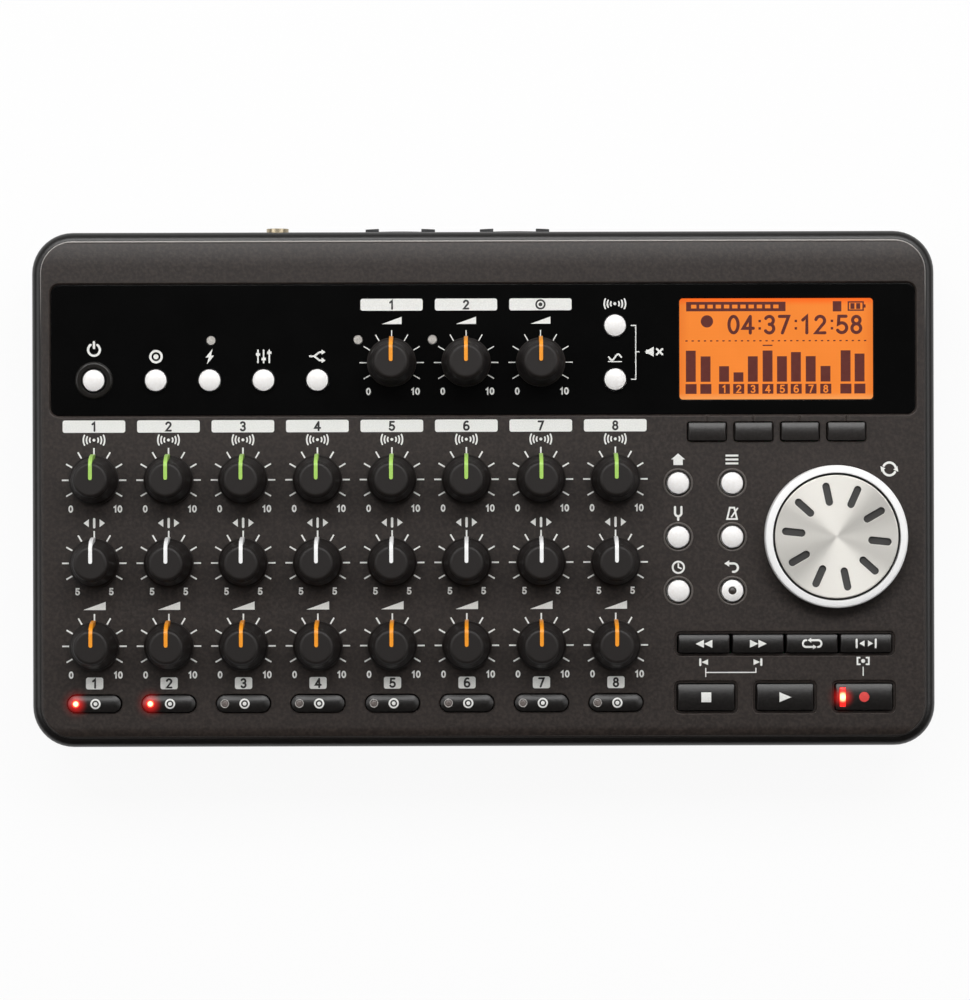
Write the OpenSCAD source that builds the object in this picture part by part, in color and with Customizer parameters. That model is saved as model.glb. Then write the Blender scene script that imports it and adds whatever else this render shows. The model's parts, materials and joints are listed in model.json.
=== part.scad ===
// Digital multitrack recorder: a flat desk case with a control panel, knobs, keys and a data wheel.
// Millimetres. +X is the right side, +Y the rear, +Z up.
// The origin lies on the table, under the centre of the case.

/* [Case] */
// Width of the case, left to right
case_w = 220; // [218:0.5:236]
// Depth of the case, front to rear
case_d = 125.5; // [125:0.5:136]
// Plan radius of the case corners
corner_r = 10; // [8:0.5:12]
// Thickness of the case walls
wall_t = 2.4; // [2.2:0.1:2.8]
// Thickness of the case floor
floor_t = 2; // [1.8:0.1:3]
// Width of the rounded rim round the panel
rim_w = 2.3; // [2.2:0.1:2.6]
// Drop from the panel face to the top of the rim
rim_drop = 1.3; // [1.1:0.1:1.6]
// Width of the ledge that carries the panel
ledge_w = 2.9; // [2.3:0.1:3.2]
// Thickness of the ledge at its edge
ledge_t = 1.5; // [1:0.1:2]
// Radius along the bottom edge of the case
base_r = 2; // [1:0.1:2.2]
// Height of the feet
foot_h = 1.5; // [1:0.1:3]
// Radius of the feet
foot_r = 6; // [4:0.5:7]
// Distance of the feet from the sides of the case
foot_inset = 18; // [17:0.5:24]

/* [Panel] */
// Thickness of the panel plate
panel_t = 2; // [1.8:0.1:2.6]
// Groove between the panel and the rim
panel_groove = 0.15; // [0.1:0.05:0.4]
// Height of the space between the circuit board and the panel
board_space = 7.6; // [7.6:0.1:9]
// Length over which the rear of the panel rolls down
rear_roll = 6; // [5:0.5:11]
// Length over which the front of the panel rolls down
front_roll = 2.5; // [1.5:0.1:3]
// How far the front and rear of the panel roll down
roll_drop = 0.7; // [0.4:0.1:0.9]
// Rounding along the sides of the panel
side_round = 0.6; // [0.3:0.1:0.9]
// Rounding along the front and rear edges of the panel
end_round = 0.6; // [0.4:0.1:0.7]
// Height of the rib that locates the panel inside the ledge
rib_h = 1.6; // [1:0.1:2]
// Thickness of the locating rib
rib_t = 1.2; // [0.8:0.1:1.6]

/* [Gloss strip] */
// Depth of the gloss strip, front to rear
gloss_d = 31.7; // [31:0.1:32.5]
// Distance from the front edge of the strip to the rear of the case
gloss_inset = 44.65; // [44.25:0.05:45.05]
// Thickness of the strip
gloss_t = 1; // [0.8:0.1:1.2]
// Depth of its face below the panel face
gloss_sink = 0.6; // [0.4:0.1:0.8]
// Distance from the ends of the strip to the ends of the panel
gloss_margin = 2.4; // [2:0.05:3.5]
// Corner radius of the strip
gloss_corner = 2; // [1:0.1:4]
// Width of the bevel round the strip
gloss_bevel = 0.4; // [0.2:0.1:0.6]

/* [Display] */
// Width of the display glass
lcd_w = 47.4; // [40:0.1:48]
// Depth of the display glass, front to rear
lcd_d = 24.9; // [20:0.1:25.5]
// Distance from the centre of the display to the right side of the case
lcd_inset = 38.6; // [36:0.1:41]
// Corner radius of the glass
lcd_corner = 0.8; // [0.4:0.1:2]
// Width of the frame round the glass
lcd_frame = 2.2; // [1.2:0.1:2.6]
// Depth of the glass below the gloss strip
lcd_sink = 0.3; // [0.2:0.1:0.5]

/* [Knobs] */
// Distance between columns
column_pitch = 18.12; // [17.6:0.02:18.2]
// Distance from the first column to the left side of the case
column_inset = 15.3; // [14.5:0.1:15.6]
// Distance between rows
row_pitch = 20.2; // [19:0.1:20.4]
// Distance from the first row to the front of the case
row_inset = 65.1; // [64.6:0.1:66]
// Distance from the knobs on the gloss strip to the front edge of the strip
input_rise = 12.7; // [10:0.1:13.4]
// Radius of the skirt of a knob
skirt_r = 6; // [5:0.1:6.6]
// Height of the skirt
skirt_h = 1.4; // [0.8:0.1:2]
// Radius of the top of a knob
cap_r = 4.35; // [3.8:0.05:4.8]
// Height of a knob's top above the panel face
knob_stand = 11.6; // [9:0.1:14]
// Rounding of a knob's top edge
cap_round = 0.9; // [0.4:0.1:1.4]
// Gap between the knobs and the panel face
knob_gap = 0.6; // [0.4:0.1:1]
// Width of the pointer groove
pointer_w = 1.1; // [0.6:0.1:1.6]
// Depth of the pointer groove
pointer_deep = 0.25; // [0.1:0.05:0.4]
// Radius of the shafts under the knobs
shaft_r = 2.5; // [2:0.1:2.8]

/* [Potentiometers] */
// Width of a potentiometer
pot_w = 9.6; // [9:0.1:10.4]
// Depth of a potentiometer, front to rear
pot_d = 11; // [10:0.1:11.6]
// Height of a potentiometer's body
pot_h = 5.6; // [4.6:0.1:5.7]
// Radius of the bush round the shaft
bush_r = 3.6; // [3.4:0.1:4]

/* [Wheel] */
// Radius of the data wheel
wheel_r = 17.35; // [15:0.05:18]
// Distance from the wheel's axis to the right side of the case
wheel_inset = 24.4; // [24:0.1:26]
// Distance from the wheel's axis to the front of the case
wheel_front = 50.95; // [50:0.05:52]
// Height of the wheel's top above the panel face
wheel_stand = 5.2; // [4.6:0.1:7]
// Gap between the wheel and the panel face
wheel_gap = 0.5; // [0.3:0.1:0.8]
// Width of the sloping ring at the wheel's edge
wheel_ring = 1.85; // [1.2:0.05:2.4]
// Width of the groove between ring and disc
wheel_groove = 0.55; // [0.4:0.05:0.8]
// Thickness of the disc let into the wheel
disc_t = 1.2; // [1:0.1:1.6]
// Number of finger slots in the disc
slots = 10; // [6:1:12]
// Length of a finger slot
slot_l = 5.7; // [4:0.1:6.5]
// Width of a finger slot
slot_w = 1.8; // [1:0.1:2.2]
// Distance from the wheel's axis to the middle of a slot
slot_at = 10.5; // [9.5:0.1:11]
// Depth of a finger slot
slot_deep = 0.6; // [0.3:0.1:0.8]
// Radius of the wheel's shaft
wheel_shaft_r = 3; // [2.5:0.1:3.4]

/* [Buttons and keys] */
// Radius of the round buttons
button_r = 2.6; // [2.2:0.1:2.8]
// Distance between neighbouring round buttons
button_pitch = 13.1; // [12.6:0.1:13.2]
// Height of the round buttons above the panel face
button_stand = 1.4; // [0.8:0.1:2]
// Radius of the dome on a round button
button_dome = 5.5; // [4.5:0.5:12]
// Height of the keys above the panel face
key_stand = 1.3; // [0.8:0.1:2]
// Travel of the keys and buttons
key_travel = 0.6; // [0.3:0.1:0.7]
// Width of a function key
function_w = 9.2; // [8:0.1:9.4]
// Distance between function keys
function_pitch = 11.3; // [11.2:0.1:11.6]
// Depth of the function keys and the tray keys, front to rear
narrow_d = 4.3; // [3.6:0.1:4.4]
// Width of a tray key
tray_key_w = 12.5; // [11:0.1:12.6]
// Width of a large key
large_w = 13.8; // [12:0.1:14.4]
// Depth of a large key, front to rear
large_d = 6.3; // [5.4:0.1:6.6]
// Distance between large keys
large_pitch = 19.2; // [18:0.1:19.4]
// Length of a track key
pill_w = 12.9; // [11:0.1:13.2]
// Depth of a track key, front to rear
pill_d = 4; // [3.4:0.1:4.2]
// Depth of the sunk border round the tray and the large keys
tray_sink = 0.6; // [0.3:0.1:0.8]
// Width of that border
tray_border = 0.6; // [0.4:0.1:0.8]

/* [Rear sockets] */
// Radius of a microphone socket
mic_r = 11.2; // [10.8:0.1:11.3]
// Distance between the microphone sockets
mic_pitch = 28; // [26:0.1:28.5]
// Distance from the first microphone socket to the right side of the case
mic_inset = 130.2; // [118:0.1:142]
// How far the shoulders of a microphone socket stand out
mic_proud = 0.9; // [0.4:0.1:1.5]
// Radius of a line jack's bore
line_r = 3.25; // [3.2:0.01:3.3]
// Distance between the line jacks
line_pitch = 22; // [18:0.5:24]
// Radius of the mini jack's bore
mini_r = 1.8; // [1.76:0.01:1.85]
// Radius of the mini jack's collar
mini_collar_r = 2.7; // [2.5:0.1:2.8]
// How far the collar stands out
mini_proud = 1; // [0.5:0.1:2]
// Room between the mini jack and the microphone sockets
mini_gap = 13.2; // [8:0.1:20]
// Distance from the power socket to the right side of the case
power_inset = 26; // [25:0.5:32]

/* [Batteries] */
// Diameter of a cell
cell_d = 14.5; // [14:0.1:14.5]
// Length of a cell with its nub
cell_l = 50.5; // [49.5:0.1:50.5]
// Number of cells side by side
cells = 4; // [2:1:4]
// Distance from the middle of the battery bay to the left side of the case
bay_inset = 71; // [70:0.5:73]
// Distance from the middle of the battery bay to the rear of the case
bay_rear = 56.75; // [56.5:0.25:59]

/* [Memory card] */
// Width of the card slot
card_w = 25; // [22:0.5:26]
// Height of the card slot
card_h = 2.6; // [2.2:0.1:2.8]
// Distance from the middle of the slot to the rear of the case
card_rear = 43; // [40:0.5:46]
// Length of the slot's cover
cover_w = 32; // [30:0.5:36]
// Height of the slot's cover
cover_h = 9; // [8:0.1:9.4]
// Thickness of the slot's cover
cover_t = 1.4; // [1.2:0.1:1.5]

/* [Hidden] */
$fn = 48;

// Clearances
fit = 0.15;            // between fixed pieces that pass through one another
slack = 0.3;           // between moving pieces and what they pass through
running = 0.1;         // round a shaft in its bush
over = 1;              // by how far a cut passes the face that it opens
lap = 0.5;             // by how far joined shapes of one piece reach into each other

// Heights, from the table up
cell_gap = 0.2;
ceiling_t = 1.1;
board_gap = 0.3;
board_t = 1.6;
floor_z = foot_h + floor_t;
cell_z = floor_z + cell_gap + cell_d / 2;
bay_top = floor_z + cell_d + 2 * cell_gap + ceiling_t;
board_under = bay_top + board_gap;
board_z = board_under + board_t;
panel_under = board_z + board_space;
panel_z = panel_under + panel_t;
rim_z = panel_z - rim_drop;
gloss_z = panel_z - gloss_sink;
pocket_z = gloss_z - gloss_t;
backing_under = pocket_z - panel_t;

// Plan of the panel and the board
panel_inset = rim_w + panel_groove;
panel_w = case_w - 2 * panel_inset;
panel_d = case_d - 2 * panel_inset;
panel_r = corner_r - panel_inset;
ledge_inset = rim_w + ledge_w;
board_inset = ledge_inset + lap;

// Plan of the gloss strip and the display
gloss_w = panel_w - 2 * gloss_margin;
gloss_front = case_d / 2 - gloss_inset;
gloss_y = gloss_front + gloss_d / 2;
backing_margin = 1;
backing_w = case_w - 2 * (ledge_inset + fit);
lcd_x = case_w / 2 - lcd_inset;
lcd_frame_w = lcd_w + 2 * lcd_frame;
lcd_frame_d = lcd_d + 2 * lcd_frame;

// Parts of a key below the panel
flange_gap = 0.15;
flange_t = 0.8;
flange_w = 0.8;
flange_out = slack + flange_w;
slim_out = (function_pitch - function_w) / 2 - slack;
stem_r = 1.5;
switch_w = 6;
switch_h = 3.8;
switch_z = board_z + switch_h;
stem_dip = 0.4;
well_spare = 0.4;
well_deep = stem_dip + key_travel + well_spare;

// Columns of knobs: as many as the width has room for, left of the menu buttons
menu_step = 31.65;     // from the middle of the menu buttons to the wheel
column_gap = 1;        // least room between the last track key and the menu buttons
menu_left = wheel_inset + menu_step + button_pitch / 2 + button_r + flange_out;
last_inset = menu_left + column_gap + flange_out + pill_w / 2;
tracks = 1 + floor((case_w - column_inset - last_inset) / column_pitch);

// Places of the knobs
function column_x(i) = column_inset - case_w / 2 + i * column_pitch;
function row_y(i) = row_inset - case_d / 2 - i * row_pitch;
effect_row = 0;
pan_row = 1;
level_row = 2;
input_y = gloss_front + input_rise;
input_columns = [tracks - 4 : tracks - 2];
track_spots = [for (r = [effect_row : level_row], i = [0 : tracks - 1]) [column_x(i), row_y(r)]];
input_spots = [for (i = input_columns) [column_x(i), input_y]];

// Places of the buttons and keys
four = [-1.5, -0.5, 0.5, 1.5];  // places of four pieces about their middle, in pitches
setup_rise = 8.5;               // from the front edge of the gloss strip to its buttons
setup_step = 15.1;              // from the first column to the first setup button
setup_end = 18;                 // least room between the last setup button and the first knob on the strip
cluster_inset = 36.75;          // from the middle of the tray to the right side of the case
function_fall = 4.3;            // from the front edge of the gloss strip to the function keys
tray_fall = 26;                 // from the wheel's axis to the tray
tray_gap = 0.63;                // between neighbouring keys in the tray
large_fall = 39;                // from the wheel's axis to the large keys
pill_fall = 14;                 // from the level knobs to the track keys
setup_y = gloss_front + setup_rise;
setup_first = column_x(0) + setup_step;
setups = 1 + floor((input_spots[0].x - setup_end - setup_first) / button_pitch);
standby_spot = [column_x(0), setup_y];
setup_spots = [for (i = [0 : setups - 1]) [setup_first + i * button_pitch, setup_y]];
mute_spots = [for (i = [0, 1]) [column_x(tracks - 1), setup_y + i * button_pitch]];
wheel_x = case_w / 2 - wheel_inset;
wheel_y = wheel_front - case_d / 2;
menu_x = wheel_x - menu_step;
menu_spots = [for (r = [-1 : 1], c = [-1, 1]) [menu_x + c * button_pitch / 2, wheel_y + r * button_pitch]];
cluster_x = case_w / 2 - cluster_inset;
function_y = gloss_front - function_fall;
function_spots = [for (i = four) [lcd_x + i * function_pitch, function_y]];
tray_y = wheel_y - tray_fall;
tray_pitch = tray_key_w + tray_gap;
tray_spots = [for (i = four) [cluster_x + i * tray_pitch, tray_y]];
tray_w = (len(four) - 1) * tray_pitch + tray_key_w;
search_spots = [tray_spots[0], tray_spots[1]];
loop_spots = [tray_spots[2], tray_spots[3]];
large_y = wheel_y - large_fall;
large_spots = [for (i = [-1 : 1]) [cluster_x + i * large_pitch, large_y]];
pill_y = row_y(level_row) - pill_fall;
pill_spots = [for (i = [0 : tracks - 1]) [column_x(i), pill_y]];
gloss_buttons = concat([standby_spot], setup_spots, mute_spots);
all_keys = concat(gloss_buttons, menu_spots, function_spots, tray_spots, large_spots, pill_spots);

// Tops of the keys
key_corner = 0.5;
key_bevel = 0.3;
narrow_crown = 6;
large_crown = 9;
pill_crown = 4;
lamp_r = 0.9;
lamp_at = 4.5;
lamp_deep = 0.5;
bar_w = 1.55;
bar_l = 4.7;
bar_at = 5.2;
undo_r = 1;
undo_deep = 0.4;

// Parts of the panel
dish_r = 3.6;
dish_deep = 0.6;
line_w = 0.4;
line_deep = 0.3;
ring_r = 4.45;
ring_bore = 3.2;
ring_h = 0.9;
indicator_r = 1.05;
indicator_body_r = 1.5;
indicator_body_h = 3.4;
indicator_proud = 0.1;
setup_lamp = [0.3, 9.7];
lamp_setup = min(1, setups - 1);
input_lamp = [-8.2, 5.6];
indicator_spots = [
    setup_spots[lamp_setup] + setup_lamp,
    input_spots[0] + input_lamp,
    input_spots[1] + input_lamp
];

// Screws, the posts under the board and the bosses over it
post_r = 3.5;
post_gap = 0.7;
boss_r = 2.75;
screw_r = 1.5;
screw_l = 10;
head_r = 2.75;
head_h = 2;
shoulder = 4;
head_z = board_under - shoulder;
rear_screw_in = 8.6;
side_screw_in = 12;
front_screw_in = 9.5;
front_screw_fall = 19.2;
rear_screw_y = case_d / 2 - rear_screw_in;
side_screw_x = case_w / 2 - side_screw_in;
knob_screw_y = row_y(pan_row) - row_pitch / 2;
knob_screw_columns = [0.5, tracks - 2.5];

// Rear sockets
mic_foot = 0.8;
mic_z = floor_z + mic_foot + mic_r;
mic_l = 24;
mic_slot_r = 9.6;
mic_core_r = 8.1;
mic_slot_deep = 14;
mic_flange_w = 25.6;
mic_flange_t = 2;
mic_flange_up = 8.6;
mic_flange_down = 11.6;
mic_pin_r = 1.25;
mic_pin_at = 3.9;
mic_pin_deep = 10;
mic_pins = 3;
mic_lip = 0.2;
mic_gap_w = 10.4;
mic_shoulder_w = 17;
mic_spots = [for (i = [0, 1]) case_w / 2 - mic_inset + i * mic_pitch];
line_nose_r = 5;
line_body_w = 14;
line_body_l = 27;
line_deep_l = 26;
line_first = mic_spots[1] + mic_flange_w / 2 + 2 * (post_r + post_gap) + line_body_w / 2;
line_spots = [for (i = [0, 1]) line_first + i * line_pitch];
line_z = board_under - line_body_w / 2;
mini_body_w = 8;
mini_x = mic_spots[0] - mic_flange_w / 2 - mini_gap - mini_body_w / 2;
mini_body_h = 5.4;
mini_body_l = 12;
mini_deep = 14;
mini_z = board_z + mini_body_h / 2;
power_x = case_w / 2 - power_inset;
power_w = 9;
power_h = 10.8;
power_l = 13.5;
power_nose_r = 4.2;
power_r = 2.8;
power_pin_r = 1;
power_deep = 9;
power_z = board_under - power_h / 2;

// Places of the screws; the middle one at the rear stands between the microphone sockets and the line jacks
middle_screw_x = mic_spots[1] + mic_flange_w / 2 + post_r + post_gap;
screw_spots = [
    [-side_screw_x, rear_screw_y],
    [side_screw_x, rear_screw_y],
    [middle_screw_x, rear_screw_y],
    [column_x(knob_screw_columns[0]), knob_screw_y],
    [column_x(knob_screw_columns[1]), knob_screw_y],
    [case_w / 2 - front_screw_in, wheel_y - front_screw_fall]
];

// Battery bay
bay_wall = 1.5;
cell_pitch = cell_d + 2 * cell_gap;
bay_w = cells * cell_pitch + 2 * cell_gap;
contact_t = 0.5;
contact_w = 10;
leaf_w = 5;
leaf_reach = 3.6;
contact_gap = 0.1;
bay_l = cell_l + leaf_reach + 2 * contact_t + 2 * contact_gap;
bay_x = bay_inset - case_w / 2;
bay_y = case_d / 2 - bay_rear;
nub_r = 2.7;
nub_l = 1.3;
door_rebate = 1.4;
door_t = 1.2;
door_corner = 2;
grip_r = 9;
grip_w = 18;
grip_deep = 0.6;

// Card slot and its cover
card_socket_h = 3.2;
card_socket_l = 26;
card_socket_wall = 1;
card_z = board_under - card_socket_h / 2;
card_y = case_d / 2 - card_rear;
guide_wall = 1.2;
hinge_r = 0.8;
hinge_pin_r = 0.5;
hinge_pin_l = 1;
hinge_x = hinge_r - case_w / 2;
hinge_z = card_z - cover_h / 2 + hinge_r;
cover_deep = 2 * hinge_r + fit;
nail_r = 2.5;
nail_deep = 0.5;

// Lower end of the shafts inside the potentiometers
shaft_foot = 1.2;
shaft_z = board_z + shaft_foot;

// Wheel and encoder
first_slot = 12;
hub_r = 5;
wheel_top_t = 1.4;
wheel_side_t = 1.7;
ring_fall = 1.6;
encoder_w = 13;
encoder_h = 6;
encoder_bush_r = 4.3;
encoder_foot = 1.5;

// Colours
case_color = "#2b2827";
panel_color = "#403c3a";
gloss_color = "#0e0d0d";
knob_color = "#2e2b2a";
key_color = "#1d1b1a";
white_color = "#eeecea";
silver_color = "#dedad6";
board_color = "#1f5c3a";
metal_color = "#b9b9b6";
gold_color = "#c9a45c";
socket_color = "#1b1b1b";
lit_color = "#f79a3c";
lamp_color = "#8c8c8a";
cell_color = "#4a4f57";
screw_color = "#5a5a58";

// Plan shape of a rounded rectangle
module rounded_plan(w, d, r) {
    square([w - 2 * r, d], center = true);
    square([w, d - 2 * r], center = true);
    for (x = [-1, 1], y = [-1, 1])
        translate([x * (w / 2 - r), y * (d / 2 - r)]) circle(r);
}

// Carries a section round a rounded rectangle; its x runs outward from the corner centres
module frame_sweep(w, d, r) {
    for (side = [0 : 3]) {
        half = side % 2 == 0 ? w / 2 : d / 2;
        run = side % 2 == 0 ? d - 2 * r : w - 2 * r;
        rotate([0, 0, 90 * side]) translate([half - r, 0, 0]) {
            rotate([90, 0, 0]) linear_extrude(run, center = true) children();
            translate([0, run / 2, 0]) rotate_extrude(angle = 90) children();
        }
    }
}

// What a rounding of radius r takes off the upper outer corner [x, y] of a section
module edge_cut(x, y, r) {
    difference() {
        translate([x - r, y - r]) square(r + over);
        translate([x - r, y - r]) circle(r);
    }
}

// Places children at each [x, y] of a list
module at(spots) {
    for (s = spots) translate([s.x, s.y, 0]) children();
}

// Places children on the rear wall: local z runs into the case from its outer face, local y is up
module rear_wall(x, z) {
    translate([x, case_d / 2, z]) rotate([90, 0, 0]) children();
}

// Section of the case wall with its rim, its rounded edges and the ledge for the panel
module wall_section() {
    slope_z = panel_under - ledge_t - (ledge_inset - wall_t);
    difference() {
        polygon([
            [corner_r, foot_h],
            [corner_r, rim_z],
            [corner_r - rim_w, rim_z],
            [corner_r - rim_w, panel_under],
            [corner_r - ledge_inset, panel_under],
            [corner_r - ledge_inset, panel_under - ledge_t],
            [corner_r - wall_t, slope_z],
            [corner_r - wall_t, foot_h]
        ]);
        edge_cut(corner_r, rim_z, rim_w);
        translate([0, 2 * foot_h]) mirror([0, 1]) edge_cut(corner_r, foot_h, base_r);
    }
}

module lower_case() {
    inner_r = corner_r - wall_t;
    color(case_color) difference() {
        union() {
            frame_sweep(case_w, case_d, corner_r) wall_section();
            translate([0, 0, foot_h])
                linear_extrude(floor_t) rounded_plan(case_w - 2 * wall_t, case_d - 2 * wall_t, inner_r);
            translate([0, 0, floor_z - lap])
                at(screw_spots) cylinder(r = post_r, h = board_under - floor_z + lap);
            translate([bay_x, bay_y, floor_z - lap]) linear_extrude(bay_top - floor_z + lap)
                square([bay_w + 2 * bay_wall, bay_l + 2 * bay_wall], center = true);
            card_guide();
        }
        at(screw_spots) screw_cut();
        battery_cut();
        card_cut();
        for (x = mic_spots) rear_wall(x, mic_z) translate([0, 0, -over])
            cylinder(r = mic_r + fit, h = mic_l);
        for (x = line_spots) rear_wall(x, line_z) translate([0, 0, -over])
            cylinder(r = line_nose_r + fit, h = wall_t + 2 * over);
        rear_wall(mini_x, mini_z) translate([0, 0, -over])
            cylinder(r = mini_collar_r + fit, h = ledge_inset + 2 * over);
        rear_wall(power_x, power_z) translate([0, 0, -over])
            cylinder(r = power_nose_r + fit, h = wall_t + 2 * over);
    }
}

// Shank hole of a post, with the well for the screw's head below it
module screw_cut() {
    cylinder(r = screw_r + fit, h = board_under + over);
    cylinder(r = head_r + slack, h = head_z);
}

// The bay, open below, and the rebate that its door sits in
module battery_cut() {
    translate([bay_x, bay_y, 0]) {
        linear_extrude(bay_top - ceiling_t) square([bay_w, bay_l], center = true);
        linear_extrude(foot_h + door_t + contact_gap)
            rounded_plan(bay_w + 2 * door_rebate, bay_l + 2 * door_rebate, door_corner);
    }
}

// Short tunnel that leads a card from the wall to its socket
module card_guide() {
    reach = board_inset - wall_t - fit;
    translate([wall_t - lap - case_w / 2, card_y, card_z]) rotate([90, 0, 90])
        linear_extrude(reach + lap)
            square([card_w + 2 * guide_wall, card_h + 2 * guide_wall], center = true);
}

// The card's way in, the shallow seat of the cover and the holes for its hinge pins
module card_cut() {
    translate([-over - case_w / 2, card_y, card_z]) rotate([90, 0, 90])
        linear_extrude(board_inset + 2 * over) square([card_w, card_h], center = true);
    translate([-over - case_w / 2, card_y, card_z]) rotate([90, 0, 90])
        linear_extrude(over + cover_deep)
            square([cover_w + 2 * slack, cover_h + 2 * slack], center = true);
    pin_l = cover_w + 2 * (hinge_pin_l + slack);
    translate([hinge_x, card_y + pin_l / 2, hinge_z]) rotate([90, 0, 0])
        cylinder(r = hinge_pin_r + running, h = pin_l);
}

module top_panel() {
    color(panel_color) difference() {
        union() {
            panel_plate();
            translate([0, 0, backing_under]) linear_extrude(panel_z - gloss_sink - backing_under - lap)
                translate([0, gloss_y]) rounded_plan(
                    backing_w, gloss_d + 2 * backing_margin, gloss_corner + backing_margin
                );
            translate([0, 0, panel_under - rib_h])
                frame_sweep(case_w, case_d, corner_r)
                    translate([corner_r - ledge_inset - fit - rib_t, 0]) square([rib_t, rib_h + lap]);
            translate([0, 0, board_z]) at(screw_spots) cylinder(r = boss_r, h = panel_under - board_z + lap);
        }
        gloss_pocket();
        key_openings();
        at(concat(track_spots, input_spots)) cylinder(r = bush_r + fit, h = panel_z + over);
        translate([wheel_x, wheel_y, 0]) cylinder(r = encoder_bush_r + fit, h = panel_z + over);
        at(indicator_spots) cylinder(r = indicator_body_r + fit, h = panel_z + over);
        at(screw_spots) cylinder(r = screw_r + running, h = head_z + screw_l + lap);
    }
}

// The plate itself, with its ends rounded off below the roll
module panel_plate() {
    difference() {
        rolled_plate();
        rotate([90, 0, 90]) linear_extrude(case_w, center = true) {
            end_cut(rear_roll);
            mirror([1, 0]) end_cut(front_roll);
        }
    }
}

// The plate rounded at the sides and rolled down at the front and the rear
module rolled_plate() {
    difference() {
        difference() {
            translate([0, 0, panel_under]) linear_extrude(panel_t) rounded_plan(panel_w, panel_d, panel_r);
            frame_sweep(panel_w, panel_d, panel_r) edge_cut(panel_r, panel_z, side_round);
        }
        rotate([90, 0, 90]) linear_extrude(case_w, center = true) {
            roll_cut(rear_roll);
            mirror([1, 0]) roll_cut(front_roll);
        }
    }
}

// Radius of the arc that falls by the roll's drop over the given run
function roll_r(run) = (run * run + roll_drop * roll_drop) / (2 * roll_drop);

// What an arc of the given run takes off the end of the panel
module roll_cut(run) {
    r = roll_r(run);
    start = panel_d / 2 - run;
    difference() {
        translate([start, panel_z - roll_drop - over]) square([run + over, roll_drop + 2 * over]);
        translate([start, panel_z - r]) circle(r);
    }
}

// What a rounding tangent to the arc of the given run takes off the end of the panel
module end_cut(run) {
    r = roll_r(run) - end_round;
    lean = asin((run - end_round) / r);
    reach = end_round + over;
    translate([panel_d / 2 - end_round, panel_z - end_round - r * (1 - cos(lean))]) difference() {
        polygon([[0, 0], [reach * tan(lean), reach], [reach, reach], [reach, 0]]);
        circle(end_round);
    }
}

// Pocket for the gloss strip with a bevelled edge, and the display's opening in its floor
module gloss_pocket() {
    translate([0, gloss_y, 0]) {
        translate([0, 0, pocket_z])
            linear_extrude(panel_t) rounded_plan(gloss_w + 2 * fit, gloss_d + 2 * fit, gloss_corner + fit);
        frame_sweep(gloss_w + 2 * fit, gloss_d + 2 * fit, gloss_corner + fit)
            translate([gloss_corner + fit, panel_z]) polygon([
                [-gloss_corner / 2, over],
                [gloss_bevel + over, over],
                [0, -gloss_bevel],
                [-gloss_corner / 2, -gloss_bevel]
            ]);
    }
    translate([lcd_x, gloss_y, 0])
        linear_extrude(panel_z) rounded_plan(lcd_frame_w + 2 * fit, lcd_frame_d + 2 * fit, lcd_corner + fit);
}

// Openings for the buttons and keys, with their dishes, sunk borders and lines
module key_openings() {
    at(concat(gloss_buttons, menu_spots)) cylinder(r = button_r + slack, h = panel_z + over);
    at(menu_spots) translate([0, 0, panel_z - dish_deep])
        cylinder(r1 = button_r + slack, r2 = dish_r, h = dish_deep);
    at(function_spots) {
        key_hole(function_w, narrow_d);
        translate([-line_w / 2, 0, panel_z - line_deep])
            cube([line_w, gloss_front - function_y, line_deep + over]);
    }
    translate([cluster_x, tray_y, 0]) {
        key_hole(tray_w, narrow_d);
        key_border(tray_w, narrow_d);
    }
    at(large_spots) {
        key_hole(large_w, large_d);
        key_border(large_w, large_d);
    }
    at(pill_spots) linear_extrude(panel_z + over) pill_plan(slack);
}

module key_hole(w, d) {
    linear_extrude(panel_z + over) rounded_plan(w + 2 * slack, d + 2 * slack, key_corner + slack);
}

// Shallow step round a key, sunk into the panel's face
module key_border(w, d) {
    edge = slack + tray_border;
    translate([0, 0, panel_z - tray_sink])
        linear_extrude(tray_sink + over) rounded_plan(w + 2 * edge, d + 2 * edge, key_corner + edge);
}

// Plan of a track key, grown by a margin
module pill_plan(margin) {
    square([pill_w - pill_d, pill_d + 2 * margin], center = true);
    for (x = [-1, 1]) translate([x * (pill_w - pill_d) / 2, 0]) circle(pill_d / 2 + margin);
}

module gloss_panel() {
    color(gloss_color) difference() {
        union() {
            translate([0, gloss_y, pocket_z])
                linear_extrude(gloss_t) rounded_plan(gloss_w, gloss_d, gloss_corner);
            translate([standby_spot.x, standby_spot.y, pocket_z]) rotate_extrude() difference() {
                square([ring_r, gloss_t + ring_h]);
                edge_cut(ring_r, gloss_t + ring_h, ring_h / 2);
            }
        }
        at(gloss_buttons) cylinder(r = button_r + slack, h = panel_z + over);
        translate([standby_spot.x, standby_spot.y, gloss_z]) cylinder(r = ring_bore, h = ring_h + over);
        at(input_spots) cylinder(r = bush_r + fit, h = panel_z + over);
        at(indicator_spots) cylinder(r = indicator_r + fit, h = panel_z + over);
        translate([lcd_x, gloss_y, 0])
            linear_extrude(panel_z + over) rounded_plan(lcd_w, lcd_d, lcd_corner);
    }
}

module display_module() {
    color(lit_color) translate([lcd_x, gloss_y, board_z]) {
        linear_extrude(pocket_z - fit - board_z) rounded_plan(lcd_frame_w, lcd_frame_d, lcd_corner);
        linear_extrude(gloss_z - lcd_sink - board_z)
            rounded_plan(lcd_w - 2 * fit, lcd_d - 2 * fit, lcd_corner);
    }
}

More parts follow.
